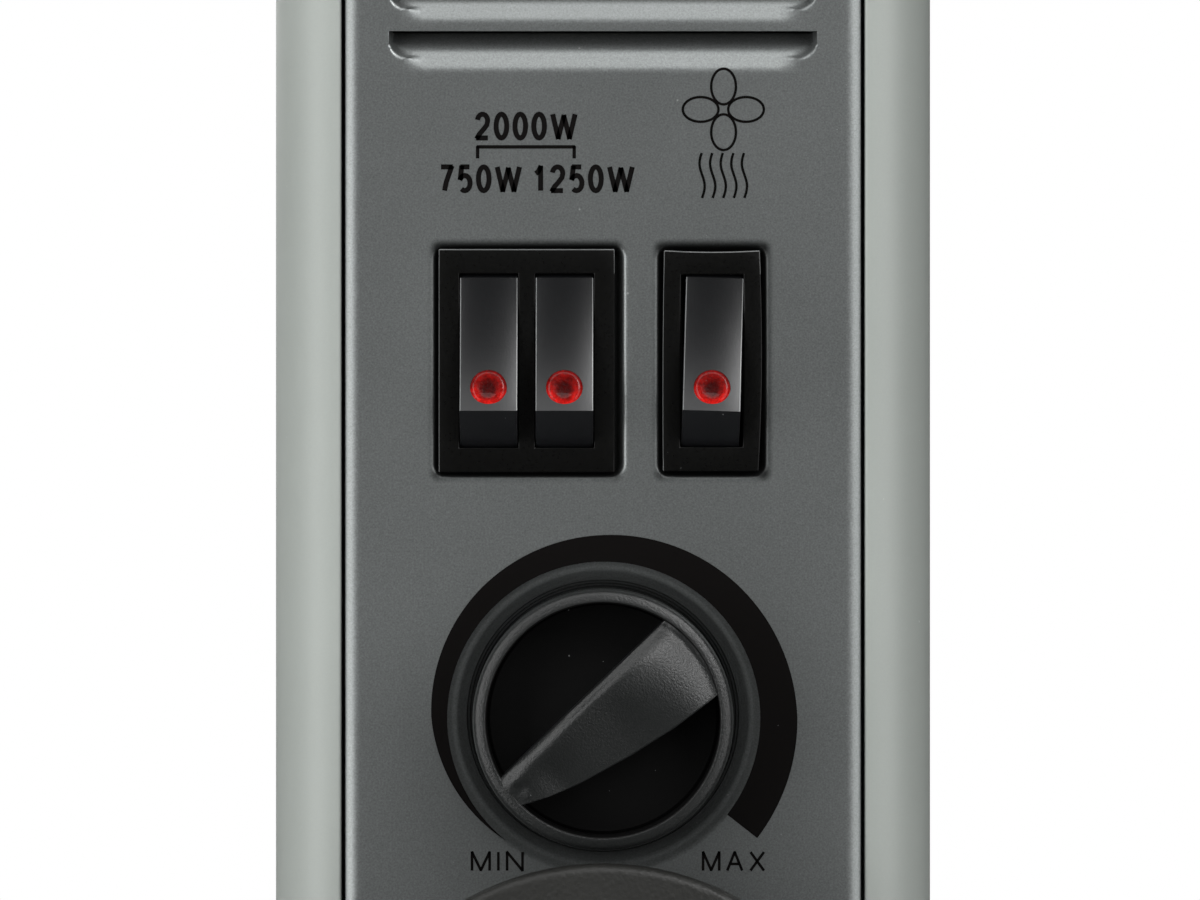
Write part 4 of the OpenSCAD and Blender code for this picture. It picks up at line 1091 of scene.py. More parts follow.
class Ink:
    """Flat print laid on the panel as thin ribbons."""

    SHAPES: dict[str, tuple[float, list[list[Flat]]]] = {}
    SHARPEST = 50.0

    def __init__(self, front: float) -> None:
        """Starts with no ink on the face at y = front."""
        self.form = Form()
        self.front = front

    def fill(self, left: Sequence[Flat], right: Sequence[Flat], closed: bool = False) -> None:
        """Lays ink between two edges with the same number of points."""
        low = [[(x, self.front - 0.03, z) for x, z in side] for side in (left, right)]
        high = [[(x, self.front + 0.03, z) for x, z in side] for side in (left, right)]
        rows = [[low[0][i], low[1][i], high[1][i], high[0][i]] for i in range(len(left))]
        if closed:
            rows.append(rows[0])
        self.form.join(grid(rows, around=True, caps=not closed))

    def line(self, path: Sequence[Flat], wide: float, closed: bool = False) -> None:
        """Draws a line of even width with mitred corners.

        Args:
            path: The line's points.
            wide: Its width.
            closed: Whether it closes on itself.
        """
        last = len(path) - 1
        sharp = [i for i in range(1, last) if self.turning(path, i) > self.SHARPEST]
        if sharp and not closed:
            for start, end in zip([0, *sharp], [*sharp, last]):
                self.stroke(path[start:end + 1], wide, start in sharp, end in sharp)
            return
        left, right = [], []
        for i, (x, z) in enumerate(path):
            a = path[i - 1] if closed or i else None
            b = path[(i + 1) % len(path)] if closed or i < last else None
            d1 = Vector((x - a[0], z - a[1])).normalized() if a else None
            d2 = Vector((b[0] - x, b[1] - z)).normalized() if b else None
            d1, d2 = d1 or d2, d2 or d1
            m = Vector((-d1.y, d1.x)) + Vector((-d2.y, d2.x))
            m = m / max(0.5, m.length_squared / 2.0) * (wide / 2.0)
            left.append((x + m.x, z + m.y))
            right.append((x - m.x, z - m.y))
        self.fill(left, right, closed)

    def stroke(self, path: Sequence[Flat], wide: float, long_start: bool, long_end: bool) -> None:
        """Draws one stroke of a line that turns sharply.

        Args:
            path: The stroke's points.
            wide: Its width.
            long_start: Whether its start runs on into the corner.
            long_end: Whether its end does.
        """
        part = list(path)
        for tip, near, long in ((0, 1, long_start), (-1, -2, long_end)):
            if long:
                (x, z), (x1, z1) = part[tip], part[near]
                d = Vector((x - x1, z - z1)).normalized() * wide * 0.25
                part[tip] = (x + d.x, z + d.y)
        self.line(part, wide)

    @staticmethod
    def turning(path: Sequence[Flat], i: int) -> float:
        """Returns how many degrees a path turns at one of its points."""
        a = Vector(path[i]) - Vector(path[i - 1])
        b = Vector(path[i + 1]) - Vector(path[i])
        return math.degrees(a.angle(b, 0.0))

    def word(
        self, text: str, left: float, right: float, base: float, high: float, wide: float
    ) -> None:
        """Writes a plain word between two edges.

        Args:
            text: Letters that letters() knows.
            left: The word's left edge.
            right: The word's right edge.
            base: The height of its foot.
            high: The height of a letter.
            wide: The width of a stroke.
        """
        glyphs = [self.letters()[c] for c in text]
        gap = 0.2 if wide > 0.5 else 0.32
        total = sum(g[0] for g in glyphs) + gap * (len(glyphs) - 1)
        scale = (right - left) / total
        x = left
        for share, strokes in glyphs:
            room = share * scale - wide
            for stroke in strokes:
                path = [(x + wide / 2 + u * room, base + wide / 2 + v * (high - wide))
                        for u, v in stroke]
                if stroke[0] == stroke[-1]:
                    self.line(path[:-1], wide, closed=True)
                else:
                    self.line(path, wide)
            x += (share + gap) * scale

    @classmethod
    def letters(cls) -> dict[str, tuple[float, list[list[Flat]]]]:
        """Returns each letter's width and its strokes in a unit square."""
        if cls.SHAPES:
            return cls.SHAPES
        oval, two, five = [], [(0.02, 0.76)], [(0.92, 1.0), (0.18, 1.0), (0.06, 0.5)]
        for a in (math.radians(15 * k) for k in range(24)):
            oval.append((0.5 + 0.5 * math.cos(a), 0.5 + 0.5 * math.sin(a)))
        for a in (math.radians(k) for k in range(20, 181, 20)):
            two.append((0.5 - 0.48 * math.cos(a), 0.72 + 0.28 * math.sin(a)))
        for a in (math.radians(k) for k in range(50, 321, 20)):
            five.append((0.48 - 0.5 * math.cos(a), 0.32 + 0.32 * math.sin(a)))
        two += [(0.9, 0.55), (0.62, 0.38), (0.2, 0.16), (0.0, 0.0), (1.0, 0.0)]
        seven = [(0.0, 1.0), (1.0, 1.0), (0.78, 0.72), (0.5, 0.36), (0.34, 0.0)]
        one = [(0.05, 0.72), (0.35, 0.8), (0.62, 1.0), (0.62, 0.0)]
        cls.SHAPES = {
            "0": (1.0, [oval + oval[:1]]), "1": (0.86, [one]), "2": (1.0, [two]),
            "5": (1.0, [five]), "7": (1.0, [seven]),
            "W": (1.75, [[(0.0, 1.0), (0.25, 0.0), (0.5, 0.92), (0.75, 0.0), (1.0, 1.0)]]),
            "M": (1.12, [[(0, 0), (0, 1), (0.5, 0.02), (1, 1), (1, 0)]]),
            "I": (0.18, [[(0.5, 0), (0.5, 1)]]),
            "N": (1.0, [[(0, 0), (0, 1), (1, 0), (1, 1)]]),
            "A": (1.05, [[(0, 0), (0.5, 1), (1, 0)], [(0.19, 0.36), (0.81, 0.36)]]),
            "X": (1.0, [[(0.02, 0), (0.98, 1)], [(0.02, 1), (0.98, 0)]]),
        }
        return cls.SHAPES

    def fan_sign(self, cx: float, cz: float, wide: float) -> None:
        """Draws the fan sign: four open blades, and five waves of warm air under them.

        Args:
            cx: The middle of the blades.
            cz: Their height.
            wide: The width of a line.
        """
        for dx, dz, rx, rz in ((0, 3.18, 1.72, 2.48), (0, -3.16, 1.72, 2.48),
                               (-3.18, 0, 2.48, 1.72), (3.12, 0, 2.48, 1.72)):
            ring = [(cx + dx + rx * math.cos(a), cz + dz + rz * math.sin(a))
                    for a in (2 * math.pi * i / 40 for i in range(40))]
            self.line(ring, wide, closed=True)
        for i in range(5):
            x = cx - 2.98 + 1.47 * i
            wave = [(x + 0.36 * math.sin(math.pi * 2 * t * 0.98 + 3.3), cz - 6.05 - 6.25 * t)
                    for t in (k / 20 for k in range(21))]
            self.line(wave, wide)

    def crescent(self, cx: float, cz: float, radius: float) -> None:
        """Lays the arc that swells from MIN clockwise to MAX.

        Args:
            cx: The arc's middle across the panel.
            cz: The height of its middle.
            radius: The radius of its inner edge.
        """
        stops = ((231.0, 0.02), (205.0, 1.15), (180.0, 2.2), (135.0, 3.05), (90.0, 3.7),
                 (45.0, 4.5), (0.0, 5.15), (-38.0, 5.3))
        first, last, steps = stops[0][0], stops[-1][0], 120
        left, right = [], []
        for k in range(steps + 1):
            angle = first + (last - first) * k / steps
            j = next(i for i in range(len(stops) - 1) if stops[i + 1][0] <= angle + 1e-6)
            (a0, t0), (a1, t1) = stops[j], stops[j + 1]
            thick = t0 + (t1 - t0) * (angle - a0) / (a1 - a0)
            c, s = math.cos(math.radians(angle)), math.sin(math.radians(angle))
            left.append((cx + radius * c, cz + radius * s))
            right.append((cx + (radius + thick) * c, cz + (radius + thick) * s))
        self.fill(left, right)


@dataclass
class Housing(Assembly):
    """The painted sheet wrapped round the controls, its caps and the heat shield."""

    lip_x: float = 36.4
    corner_x: float = 9.0
    corner_y: float = 12.0
    back_corner: float = 3.0
    edge: float = 0.4
    sheet_gauge: float = 1.0
    cap_side: float = 8.0
    cap_round: float = 3.0
    cap_gap: float = 1.4

    def build(self) -> None:
        """Builds and places the wrap and the caps, and dresses the shield."""
        self.put(self.wrap(), "heater", "housing_paint", "housing_shell")
        for node in ("top_cap", "bottom_cap"):
            self.put(self.cap(node), "heater", "cap_plastic", node)
        self.dress(SHIELD, "heat_shield")
        self.dress(ZINC, "shield_nuts", "cover_screws")

    def flank(self, half: float, front: float) -> list[Flat]:
        """Returns the rounded corner between the front and the right side, in plan.

        Args:
            half: Half the width.
            front: Where the front lies.

        Returns:
            The corner's points, from the front to the side.
        """
        cx, cy = half - self.corner_x, front + self.corner_y
        turns = (math.radians(90 * i / 16) for i in range(17))
        return [(cx + self.corner_x * math.sin(a), cy - self.corner_y * math.cos(a)) for a in turns]

    def outline(self) -> list[Flat]:
        """Returns the wrap's plan from the right lip round the front corner, side and back."""
        low, high = box_mm("housing_shell")
        half, y0, y1 = high.x, low.y, high.y
        right = [(self.lip_x, y0 + 8.0), (self.lip_x, y0 + self.edge)]
        right += arc(self.lip_x + self.edge, y0 + self.edge, self.edge, 180, 270, 5)[1:]
        right += self.flank(half, y0)
        right += [(half, y0 + (y1 - y0) * t) for t in (0.3, 0.5, 0.7, 0.85)]
        r = self.back_corner
        return right + arc(half - r, y1 - r, r, 0, 90, 5)

    def wrap(self) -> bpy.types.Object:
        """Sweeps the plan up the housing and closes its back."""
        low, high = box_mm("housing_shell")
        right = self.outline()
        plan = [(-x, y) for x, y in right] + [(x, y) for x, y in reversed(right)]
        tops = [low.z, low.z + 0.6, *span(low.z + 10, high.z - 10, 40.0)]
        tops += [high.z - 10, high.z - 0.6, high.z]
        form = grid([[(x, y, z) for x, y in plan] for z in tops])
        inward = []
        for i, (x, y) in enumerate(plan):
            a, b = plan[max(i - 1, 0)], plan[min(i + 1, len(plan) - 1)]
            n = Vector((b[1] - y + y - a[1], a[0] - b[0])).normalized() * self.sheet_gauge
            inward.append((n.x, n.y, 0.0))
        form.thickened(inward * len(tops))
        return form.build("housing_wrap", [PALE_PAINT], angle=40.0)

    def cap(self, node: str) -> bpy.types.Object:
        """Moulds a cap with softened edges that closes an end of the housing.

        Args:
            node: The CAD cap that it stands for.

        Returns:
            The cap.
        """
        low, high = box_mm(node)
        top = node == "top_cap"
        half, deep = high.x, high.y - low.y
        corners = [(half - 9 + 9 * math.sin(a), 12 - deep / 2 - 12 * math.cos(a))
                   for a in (math.radians(11.25 * i) for i in range(9))]
        outline = corners + arc(half - 4, deep / 2 - 4, 4, 0, 90, 5)
        outline += [(-x, y) for x, y in reversed(outline)]
        cy = (low.y + high.y) / 2
        z0, z1 = (high.z - self.cap_side, high.z) if top else (low.z, low.z + self.cap_side)
        rounds = (0.3, self.cap_round) if top else (self.cap_round, 0.3)
        shell = slab(outline, z0, z1, Turn.LEVEL, *rounds, 4).moved(y=cy)
        gap = self.cap_gap
        plug = [(x * (half - gap) / half, y * (deep / 2 - gap) / (deep / 2)) for x, y in outline]
        p0, p1 = (low.z, z0 + 0.5) if top else (z1 - 0.5, high.z)
        shell.join(slab(plug, p0, p1, Turn.LEVEL).moved(y=cy))
        for x in (-33.0, 33.0) if top else ():
            rib = slab(round_rect(4.0, deep - 26, 1.9), z1 - 0.2, z1 - 0.05, Turn.LEVEL, 0, 0.1)
            shell.join(rib.moved(x, cy + 3, 0))
        return shell.build(f"{node}_moulding", [CAP_PLASTIC], angle=40.0)


@dataclass
class Rockers(Assembly):
    """The two-rocker switch and the one-rocker switch, with their lamps."""

    bezel_face: float = -0.6
    bezel_thick: float = 2.2
    pivot_depth: float = 7.4
    face_radius: float = 13.95
    face_corner: float = 42.8
    half_width: float = 4.0
    tilt: float = 12.8
    lens_radius: float = 2.6
    lens_drop: float = 6.1
    window_high: float = 24.2
    pitch: float = 10.5
    opening: float = 8.2
    lean: float = 1.7

    def build(self) -> None:
        """Builds and places both bezels, the three rockers and their lenses."""
        panel = box_mm("front_panel")[0].y
        self.plane = panel
        self.put(self.double(), "heater", "bezel_plastic", "double_switch_body")
        self.put(self.single(), "heater", "bezel_plastic", "fan_switch_body")
        for name, x in (("750w", -15.85), ("1250w", -5.35), ("fan", 15.2)):
            body = f"rocker_{name}_unit"
            self.put(self.rocker(name, x), body, "rocker_plastic", f"rocker_{name}")
            self.put(self.lens(name, x), body, "lens_red", f"lens_{name}")

    def frame_form(self, wide: float, high: float, windows: Sequence[Flat]) -> Form:
        """Makes a bezel: a flat frame with a window for each rocker.

        Args:
            wide: Overall width.
            high: Overall height.
            windows: The centre and width of each window.

        Returns:
            The frame, centred, its face at y = 0 and its back towards +y.
        """
        sides = [v for c, w in windows for v in (c - w / 2, c + w / 2)]
        xs = [-wide / 2, *sides, wide / 2]
        zs = [-high / 2, -self.window_high / 2, self.window_high / 2, high / 2]
        form = Form()
        index: dict[tuple[int, int, int], int] = {}
        for k, y in enumerate((0.0, self.bezel_thick)):
            for j, z in enumerate(zs):
                for i, x in enumerate(xs):
                    index[(i, j, k)] = len(form.points)
                    form.points.append((x, y, z))
        cells = [(i, j) for i in range(len(xs) - 1) for j in range(3) if j != 1 or i % 2 == 0]
        faces = []
        for i, j in cells:
            corners = ((i, j), (i + 1, j), (i + 1, j + 1), (i, j + 1))
            faces += [tuple(index[(*c, k)] for c in corners) for k in (0, 1)]
            for di, dj, a, b in ((-1, 0, 0, 3), (1, 0, 1, 2), (0, -1, 0, 1), (0, 1, 3, 2)):
                if (i + di, j + dj) not in cells:
                    a, b = corners[a], corners[b]
                    faces.append((index[(*a, 0)], index[(*b, 0)], index[(*b, 1)], index[(*a, 1)]))
        form.faces, form.slots = faces, [0] * len(faces)
        return form

    @staticmethod
    def rub_and_sheen(low: Vector, high: Vector) -> Callable[[Vector, Vector], bool]:
        """Returns the rule for which of a bezel's edges take the painted highlight.

        Args:
            low: The switch's lowest corner.
            high: Its highest corner.

        Returns:
            A rule that takes an edge's middle and its normal.
        """
        def rule(middle: Vector, normal: Vector) -> bool:
            """Returns whether this edge is on the rim's top or left, towards the front, for the
            painted highlight.
            """
            top = middle.z > high.z - 0.7 and normal.z > 0.2
            left = middle.x < low.x + 0.8 and normal.x < -0.3
            right = middle.x > high.x - 0.8 and normal.x > 0.3 and middle.z > high.z - 2.0
            return normal.y < -0.2 and (top or left or right)

        return rule

    def tub(self, wide: float, high: float, cx: float, deep: float) -> Form:
        """Makes the open box that a rocker tilts in, behind its window.

        Args:
            wide: Its width.
            high: Its height.
            cx: Where its middle lies across the switch.
            deep: How deep its floor lies behind the bezel's face.

        Returns:
            The box, open at its front.
        """
        outer = round_rect(wide, high, 0.8, cx, 0.0, 3)
        inner = [(cx + (u - cx) * (wide - 1.2) / wide, v * (high - 1.2) / high) for u, v in outer]
        place = Turn.FRONT.place
        rows = [[place(u, v, 1.9) for u, v in outer], [place(u, v, deep) for u, v in outer],
                [place(u, v, deep - 0.8) for u, v in inner], [place(u, v, 1.9) for u, v in inner]]
        form = grid([rows[0], rows[1]], around=True)
        form.join(grid([rows[2], rows[3]], around=True))
        form.join(grid([rows[3], rows[0]], around=True))
        count = len(outer)
        form.add(rows[1], [tuple(range(count))])
        form.add(rows[2], [tuple(reversed(range(count)))])
        return form

    def bezel(self, name: str, form: Form, node: str) -> bpy.types.Object:
        """Places a bezel and rounds its edges.

        Args:
            name: Its name.
            form: Its form, centred.
            node: The CAD switch that it stands for.

        Returns:
            The bezel.
        """
        low, high = box_mm(node)
        form.moved((low.x + high.x) / 2, self.plane + self.bezel_face, SWITCH_Z)
        # the rounded top and left edges take the painted highlight
        return form.build(name, [BEZEL_PLASTIC, EDGE_HIGHLIGHT], 30.0, bevel=0.16, segments=3,
                          highlit=self.rub_and_sheen(low, high))

    def double(self) -> bpy.types.Object:
        """Builds the two-rocker switch's bezel and body."""
        low, high = box_mm("double_switch_body")
        wide, tall = high.x - low.x, high.z - low.z
        windows = [(-self.pitch / 2, self.opening), (self.pitch / 2, self.opening)]
        form = self.frame_form(wide, tall, windows)
        obj = self.bezel("double_switch_bezel", form, "double_switch_body")
        self.add_body(obj, wide, (low.x + high.x) / 2, high.y, windows)
        return obj

    def single(self) -> bpy.types.Object:
        """Builds the one-rocker switch's bezel and body, a little out of true."""
        low, high = box_mm("fan_switch_body")
        wide, tall = high.x - low.x, high.z - low.z
        form = self.frame_form(wide, tall, [(0.0, 8.9)])

        def warp(p: Point) -> Point:
            """Bows the right side and dips the top edge slightly."""
            x, y, z = p
            v = z / (tall / 2)
            bow = -0.42 * v * v + 0.12 if x > 0 else 0.12 * v * v
            x += bow * (1 if abs(x) > 5 else 0.4) - 0.15 * (1 - v) * 0.5
            z -= 0.22 * (1 - (x / 7.0) ** 2) if v > 0.9 else 0.0
            return (x * 0.985, y, z * 0.99)

        bm = bmesh.new()
        mesh = bpy.data.meshes.new("bezel_blank")
        mesh.from_pydata(form.points, [], form.faces)
        bm.from_mesh(mesh)
        long_edges = [e for e in bm.edges if e.calc_length() > 4]
        bmesh.ops.subdivide_edges(bm, edges=long_edges, cuts=6, use_grid_fill=True)
        bm.verts.ensure_lookup_table()
        faces = [[v.index for v in f.verts] for f in bm.faces]
        fine = Form().add([tuple(v.co) for v in bm.verts], faces)
        bm.free()
        bpy.data.meshes.remove(mesh)
        obj = self.bezel("single_switch_bezel", fine.mapped(warp), "fan_switch_body")
        self.add_body(obj, wide, (low.x + high.x) / 2, high.y, [(0.0, self.opening)])
        return obj

    def add_body(
        self, bezel: bpy.types.Object, wide: float, cx: float, back: float, windows: Sequence[Flat]
    ) -> None:
        """Adds a switch's wells, body and blade terminals behind its bezel.

        Args:
            bezel: The bezel that the body belongs to.
            wide: The bezel's width.
            cx: The middle of the switch.
            back: Where the terminals end.
            windows: The centre and width of each window.
        """
        form = Form()
        for c, w in windows:
            form.join(self.tub(w + 1.4, self.window_high + 1.4, c, 17.5))
        form.join(slab(round_rect(wide - 3.4, 26.6, 0.8), 17.6, 24.0, Turn.FRONT, 0.3, 0.5, 2))
        reach = back - self.plane - self.bezel_face
        for c, w in windows:
            for z in (-8.0, 0.0, 8.0):
                blade = round_rect(6.0, 0.8, 0.15, c, z, 1)
                form.join(slab(blade, 23.8, reach, Turn.FRONT, 0, 0.2, 1), slot=1)
        made = form.moved(cx, self.plane + self.bezel_face, SWITCH_Z)
        body = made.build(f"{bezel.name}_body", [BEZEL_PLASTIC, BRASS], 35.0)
        self.put(body, "heater", "bezel_plastic")

    def profile(self) -> list[Flat]:
        """Returns a rocker's side outline (y, z) about its pivot, before it is tilted."""
        r, corner = self.face_radius, math.radians(self.face_corner)
        cz, cy = r * math.sin(corner), -r * math.cos(corner)
        shares = (i / 14 for i in range(15))
        face = [(cy + 0.9 * (1 - (t * 2 - 1) ** 2), -cz + 2 * cz * t) for t in shares]
        turns = (math.radians(self.face_corner + i * 6) for i in range(1, 7))
        upper = [(-r * math.cos(a), r * math.sin(a)) for a in turns] + [(-0.4, 10.4), (3.0, 8.0)]
        lower = [(y, -z) for y, z in reversed(upper)]
        return face + upper + [(5.2, 0.0)] + lower

    def tilted(self, form: Form, name: str, x: float) -> Form:
        """Tilts a rocker or its lens to rest, and sets it in its window."""
        form.turned(-self.tilt, "X").turned(self.lean if name == "fan" else 0.0, "Y")
        return form.moved(x, self.plane + self.pivot_depth, SWITCH_Z)

    def rocker(self, name: str, x: float) -> bpy.types.Object:
        """Moulds a rocker, its lower end proud, with crisp side edges that take a painted
        highlight.
        """
        outline = self.profile()
        pairs = zip(outline, outline[1:] + outline[:1])
        if sum(a[0] * b[1] - b[0] * a[1] for a, b in pairs) < 0:
            outline = outline[::-1]
        half = self.half_width
        form = slab(outline, -half, half, Turn.SIDE, 0.16, 0.16, 2, edge_slot=1)
        # only the roundings beside the dished face keep the painted highlight
        pairs = zip(form.faces, form.slots)
        form.slots = [0 if s and not self.on_face(form, f) else s for f, s in pairs]
        self.tilted(form, name, x)
        finish = RockerFace(f"rocker_plastic_{name}", (0.0055, 0.0058, 0.0066),
                            SWITCH_Z - 9.0, SWITCH_Z + 12.0)
        return form.build(f"rocker_{name}_cap", [finish, EDGE_HIGHLIGHT], angle=24.0)

    def on_face(self, form: Form, face: Sequence[int]) -> bool:
        """Returns whether a rounding's facet borders the rocker's dished face."""
        points = [form.points[i] for i in face]
        corner = self.face_radius * math.sin(math.radians(self.face_corner)) + 0.02
        return all(abs(p[2]) <= corner and p[1] < -self.face_radius * 0.6 for p in points)

    def lens(self, name: str, x: float) -> bpy.types.Object:
        """Turns a lens with a rounded rim and a dimpled crown."""
        r = self.lens_radius
        profile = [(0.0, 0.62), (0.9, 0.66), (1.5, 0.78), (1.9, 0.84), (2.2, 0.74), (2.45, 0.5),
                   (r - 0.02, 0.2), (r, -0.3), (r - 0.05, -1.8), (0.0, -1.8)]
        form = lathe(profile, 48, Turn.FRONT).mapped(lambda p: (p[0], -p[1], p[2]))
        surface = -self.face_radius * math.cos(math.radians(self.face_corner)) + 0.75
        self.tilted(form.moved(0.0, surface, -self.lens_drop), name, x)
        return form.build(f"lens_{name}_dome", [LENS_RED], angle=60.0)


@dataclass
class ThermostatKnob(Assembly):
    """The thermostat's knob: a pebbled ring, a deep pocket and a slanted grip across it."""

    radius: float = 17.9
    ring_out: float = 13.5
    grip_out: float = 16.9
    grip_top: float = 4.0
    floor_out: float = 5.6
    pocket_radius: float = 16.0
    grip_angle: float = 43.8

    def build(self) -> None:
        """Builds and places the knob, and dresses what carries it."""
        panel = box_mm("front_panel")[0].y
        form = self.ring()
        form.join(self.grip())
        form.moved(0.0, panel, KNOB_Z)
        obj = form.build("thermostat_knob", [KNOB_PLASTIC, POCKET_SHADE], angle=32.0, tidy=False)
        self.put(obj, "thermostat_unit", "knob_plastic", "control_knob")
        self.dress(SPINDLE, "thermostat_spindle")
        self.dress(STEATITE, "thermostat_body")

    def rim_height(self, r: float) -> float:
        """Returns how far the ring's face stands out at a radius."""
        t = min(1.0, max(0.0, (r - self.pocket_radius) / (self.radius - self.pocket_radius)))
        return self.ring_out - 0.4 * t - 0.22 * t ** 2 - 0.75 * t ** 10

    def ring(self) -> Form:
        """Turns the barrel, the ring and the pocket."""
        r, pocket, low = self.radius, self.pocket_radius, -self.floor_out
        face = [(r - 0.1, -1.0), (r, 4.0), (r, self.ring_out - 2.6)]
        for share in (1.0, 0.985, 0.965, 0.94, 0.91, 0.875, 0.83, 0.78, 0.72, 0.64, 0.5, 0.34, 0.2):
            at = pocket + (r - pocket) * share
            face.append((at, self.rim_height(at)))
        lip = self.rim_height(pocket + 0.38)
        rim = [(pocket + 0.22, lip - 0.02), (pocket + 0.08, lip - 0.12), (pocket, lip - 0.34)]
        ring = [(x, -h) for x, h in face + rim]
        back = [(pocket, -4.6), (r - 1.2, -4.2), (r - 1.4, 1.0)]
        form = lathe(ring + back, 144, Turn.FRONT)
        floor = [(0.0, low), (pocket - 0.4, low), (pocket + 0.2, low + 0.4), (pocket + 0.2, -4.0),
                 (0.0, -4.0)]
        # the pocket's floor, its wall and the inner rounding take the painted shade in slot 1
        form.join(lathe(floor, 96, Turn.FRONT), slot=1)
        form.slots = [1 if self.inside(form, f) else s for f, s in zip(form.faces, form.slots)]
        hub = [(0.0, -4.2), (4.6, -4.2), (4.6, 1.0), (3.3, 1.0), (3.3, -3.0), (0.0, -3.0)]
        return form.join(lathe(hub, 40, Turn.FRONT))

    def inside(self, form: Form, face: Sequence[int]) -> bool:
        """Returns whether a face is on the pocket's wall or floor, which take the painted shade."""
        points = [form.points[i] for i in face]
        r = sum(math.hypot(p[0], p[2]) for p in points) / len(points)
        out = -sum(p[1] for p in points) / len(points)
        return r < self.pocket_radius + 0.27 and out < self.ring_out - 0.02

    @staticmethod
    def lower_edge(u: float) -> float:
        """Returns where the grip's lower edge lies across it, for a place along it."""
        knots = ((-18.0, 0.6), (-15.85, -0.83), (-12.4, -2.6), (-8.6, -4.06), (-0.5, -6.15),
                 (7.0, -7.5), (13.65, -8.2), (18.0, -8.5))
        place = max(u, knots[0][0])
        j = max(i for i in range(len(knots) - 1) if knots[i][0] <= place)
        (u0, v0), (u1, v1) = knots[j], knots[j + 1]
        return v0 + (v1 - v0) * (u - u0) / (u1 - u0)

    def crown(self, u: float, v: float, low: float) -> float:
        """Returns how far the grip's face stands out at a point.

        Args:
            u: Place along the grip, from the pointer's tail to its wide end.
            v: Place across it.
            low: Where its lower edge lies.

        Returns:
            The distance out from the panel's face.
        """
        drop = self.grip_top - v
        t = drop / (self.grip_top - low)
        wide = smooth(0.0, 15.0, u)
        crest = self.grip_out - 0.03 * min(11.5, max(0.0, u - 4.0)) ** 2
        crest -= 3.0 * max(0.0, (-u - 4.0) / 14.0) ** 2
        near = 1.2 - 0.3 * smooth(-12.0, 0.0, u) + 0.5 * wide
        edge = (1.5 - 0.5 * wide) * math.exp(-(drop / near) ** 1.8)
        slope = (3.3 - 2.3 * wide) * t ** 1.1 + 0.7 * math.sin(math.pi * min(1.0, t)) * (1.0 - wide)
        slope *= 1.0 - 0.5 * smooth(9.0, 15.0, -u)
        dimple = math.hypot(u + 14.5, v - 1.1)
        return crest - edge - slope - 0.3 * (1.0 - smooth(0.3, 1.25, dimple))

    def grip(self) -> Form:
        """Lofts the grip's crown, its walls and its blends into the ring."""
        reach = self.radius - 0.12
        across = [0.0, 0.012, 0.03, 0.05, 0.075, 0.1, 0.13, 0.165, 0.2, 0.25, 0.31, 0.38, 0.46,
                  0.54, 0.62, 0.7, 0.78, 0.85, 0.91, 0.955, 0.985, 1.0]
        stops = [0.0, *across, 1.0]
        turn = math.radians(self.grip_angle)
        c, s = math.cos(turn), math.sin(turn)
        rows = []
        for a in (math.sin(math.radians(-90 + 2.5 * i)) for i in range(73)):
            top, low = self.grip_top, self.lower_edge(a * reach)
            row = []
            for i, t in enumerate(stops):
                v = top + (low - top) * t
                u = a * math.sqrt(reach * reach - v * v)
                r = math.hypot(u, v)
                blend = smooth(14.6, 17.6, r)
                edge = min(1.0, min(t, 1 - t) / 0.012)
                h = self.crown(u, v, low) * (1 - blend) + (self.rim_height(r) + 0.01) * blend
                h -= 0.14 * (1 - edge) * (1 - blend)
                if i in (0, len(stops) - 1):
                    h = self.floor_out - 0.4
                row.append((u * c - v * s, -h, u * s + v * c))
            rows.append(row)
        return grid(rows, around=True, caps=True)


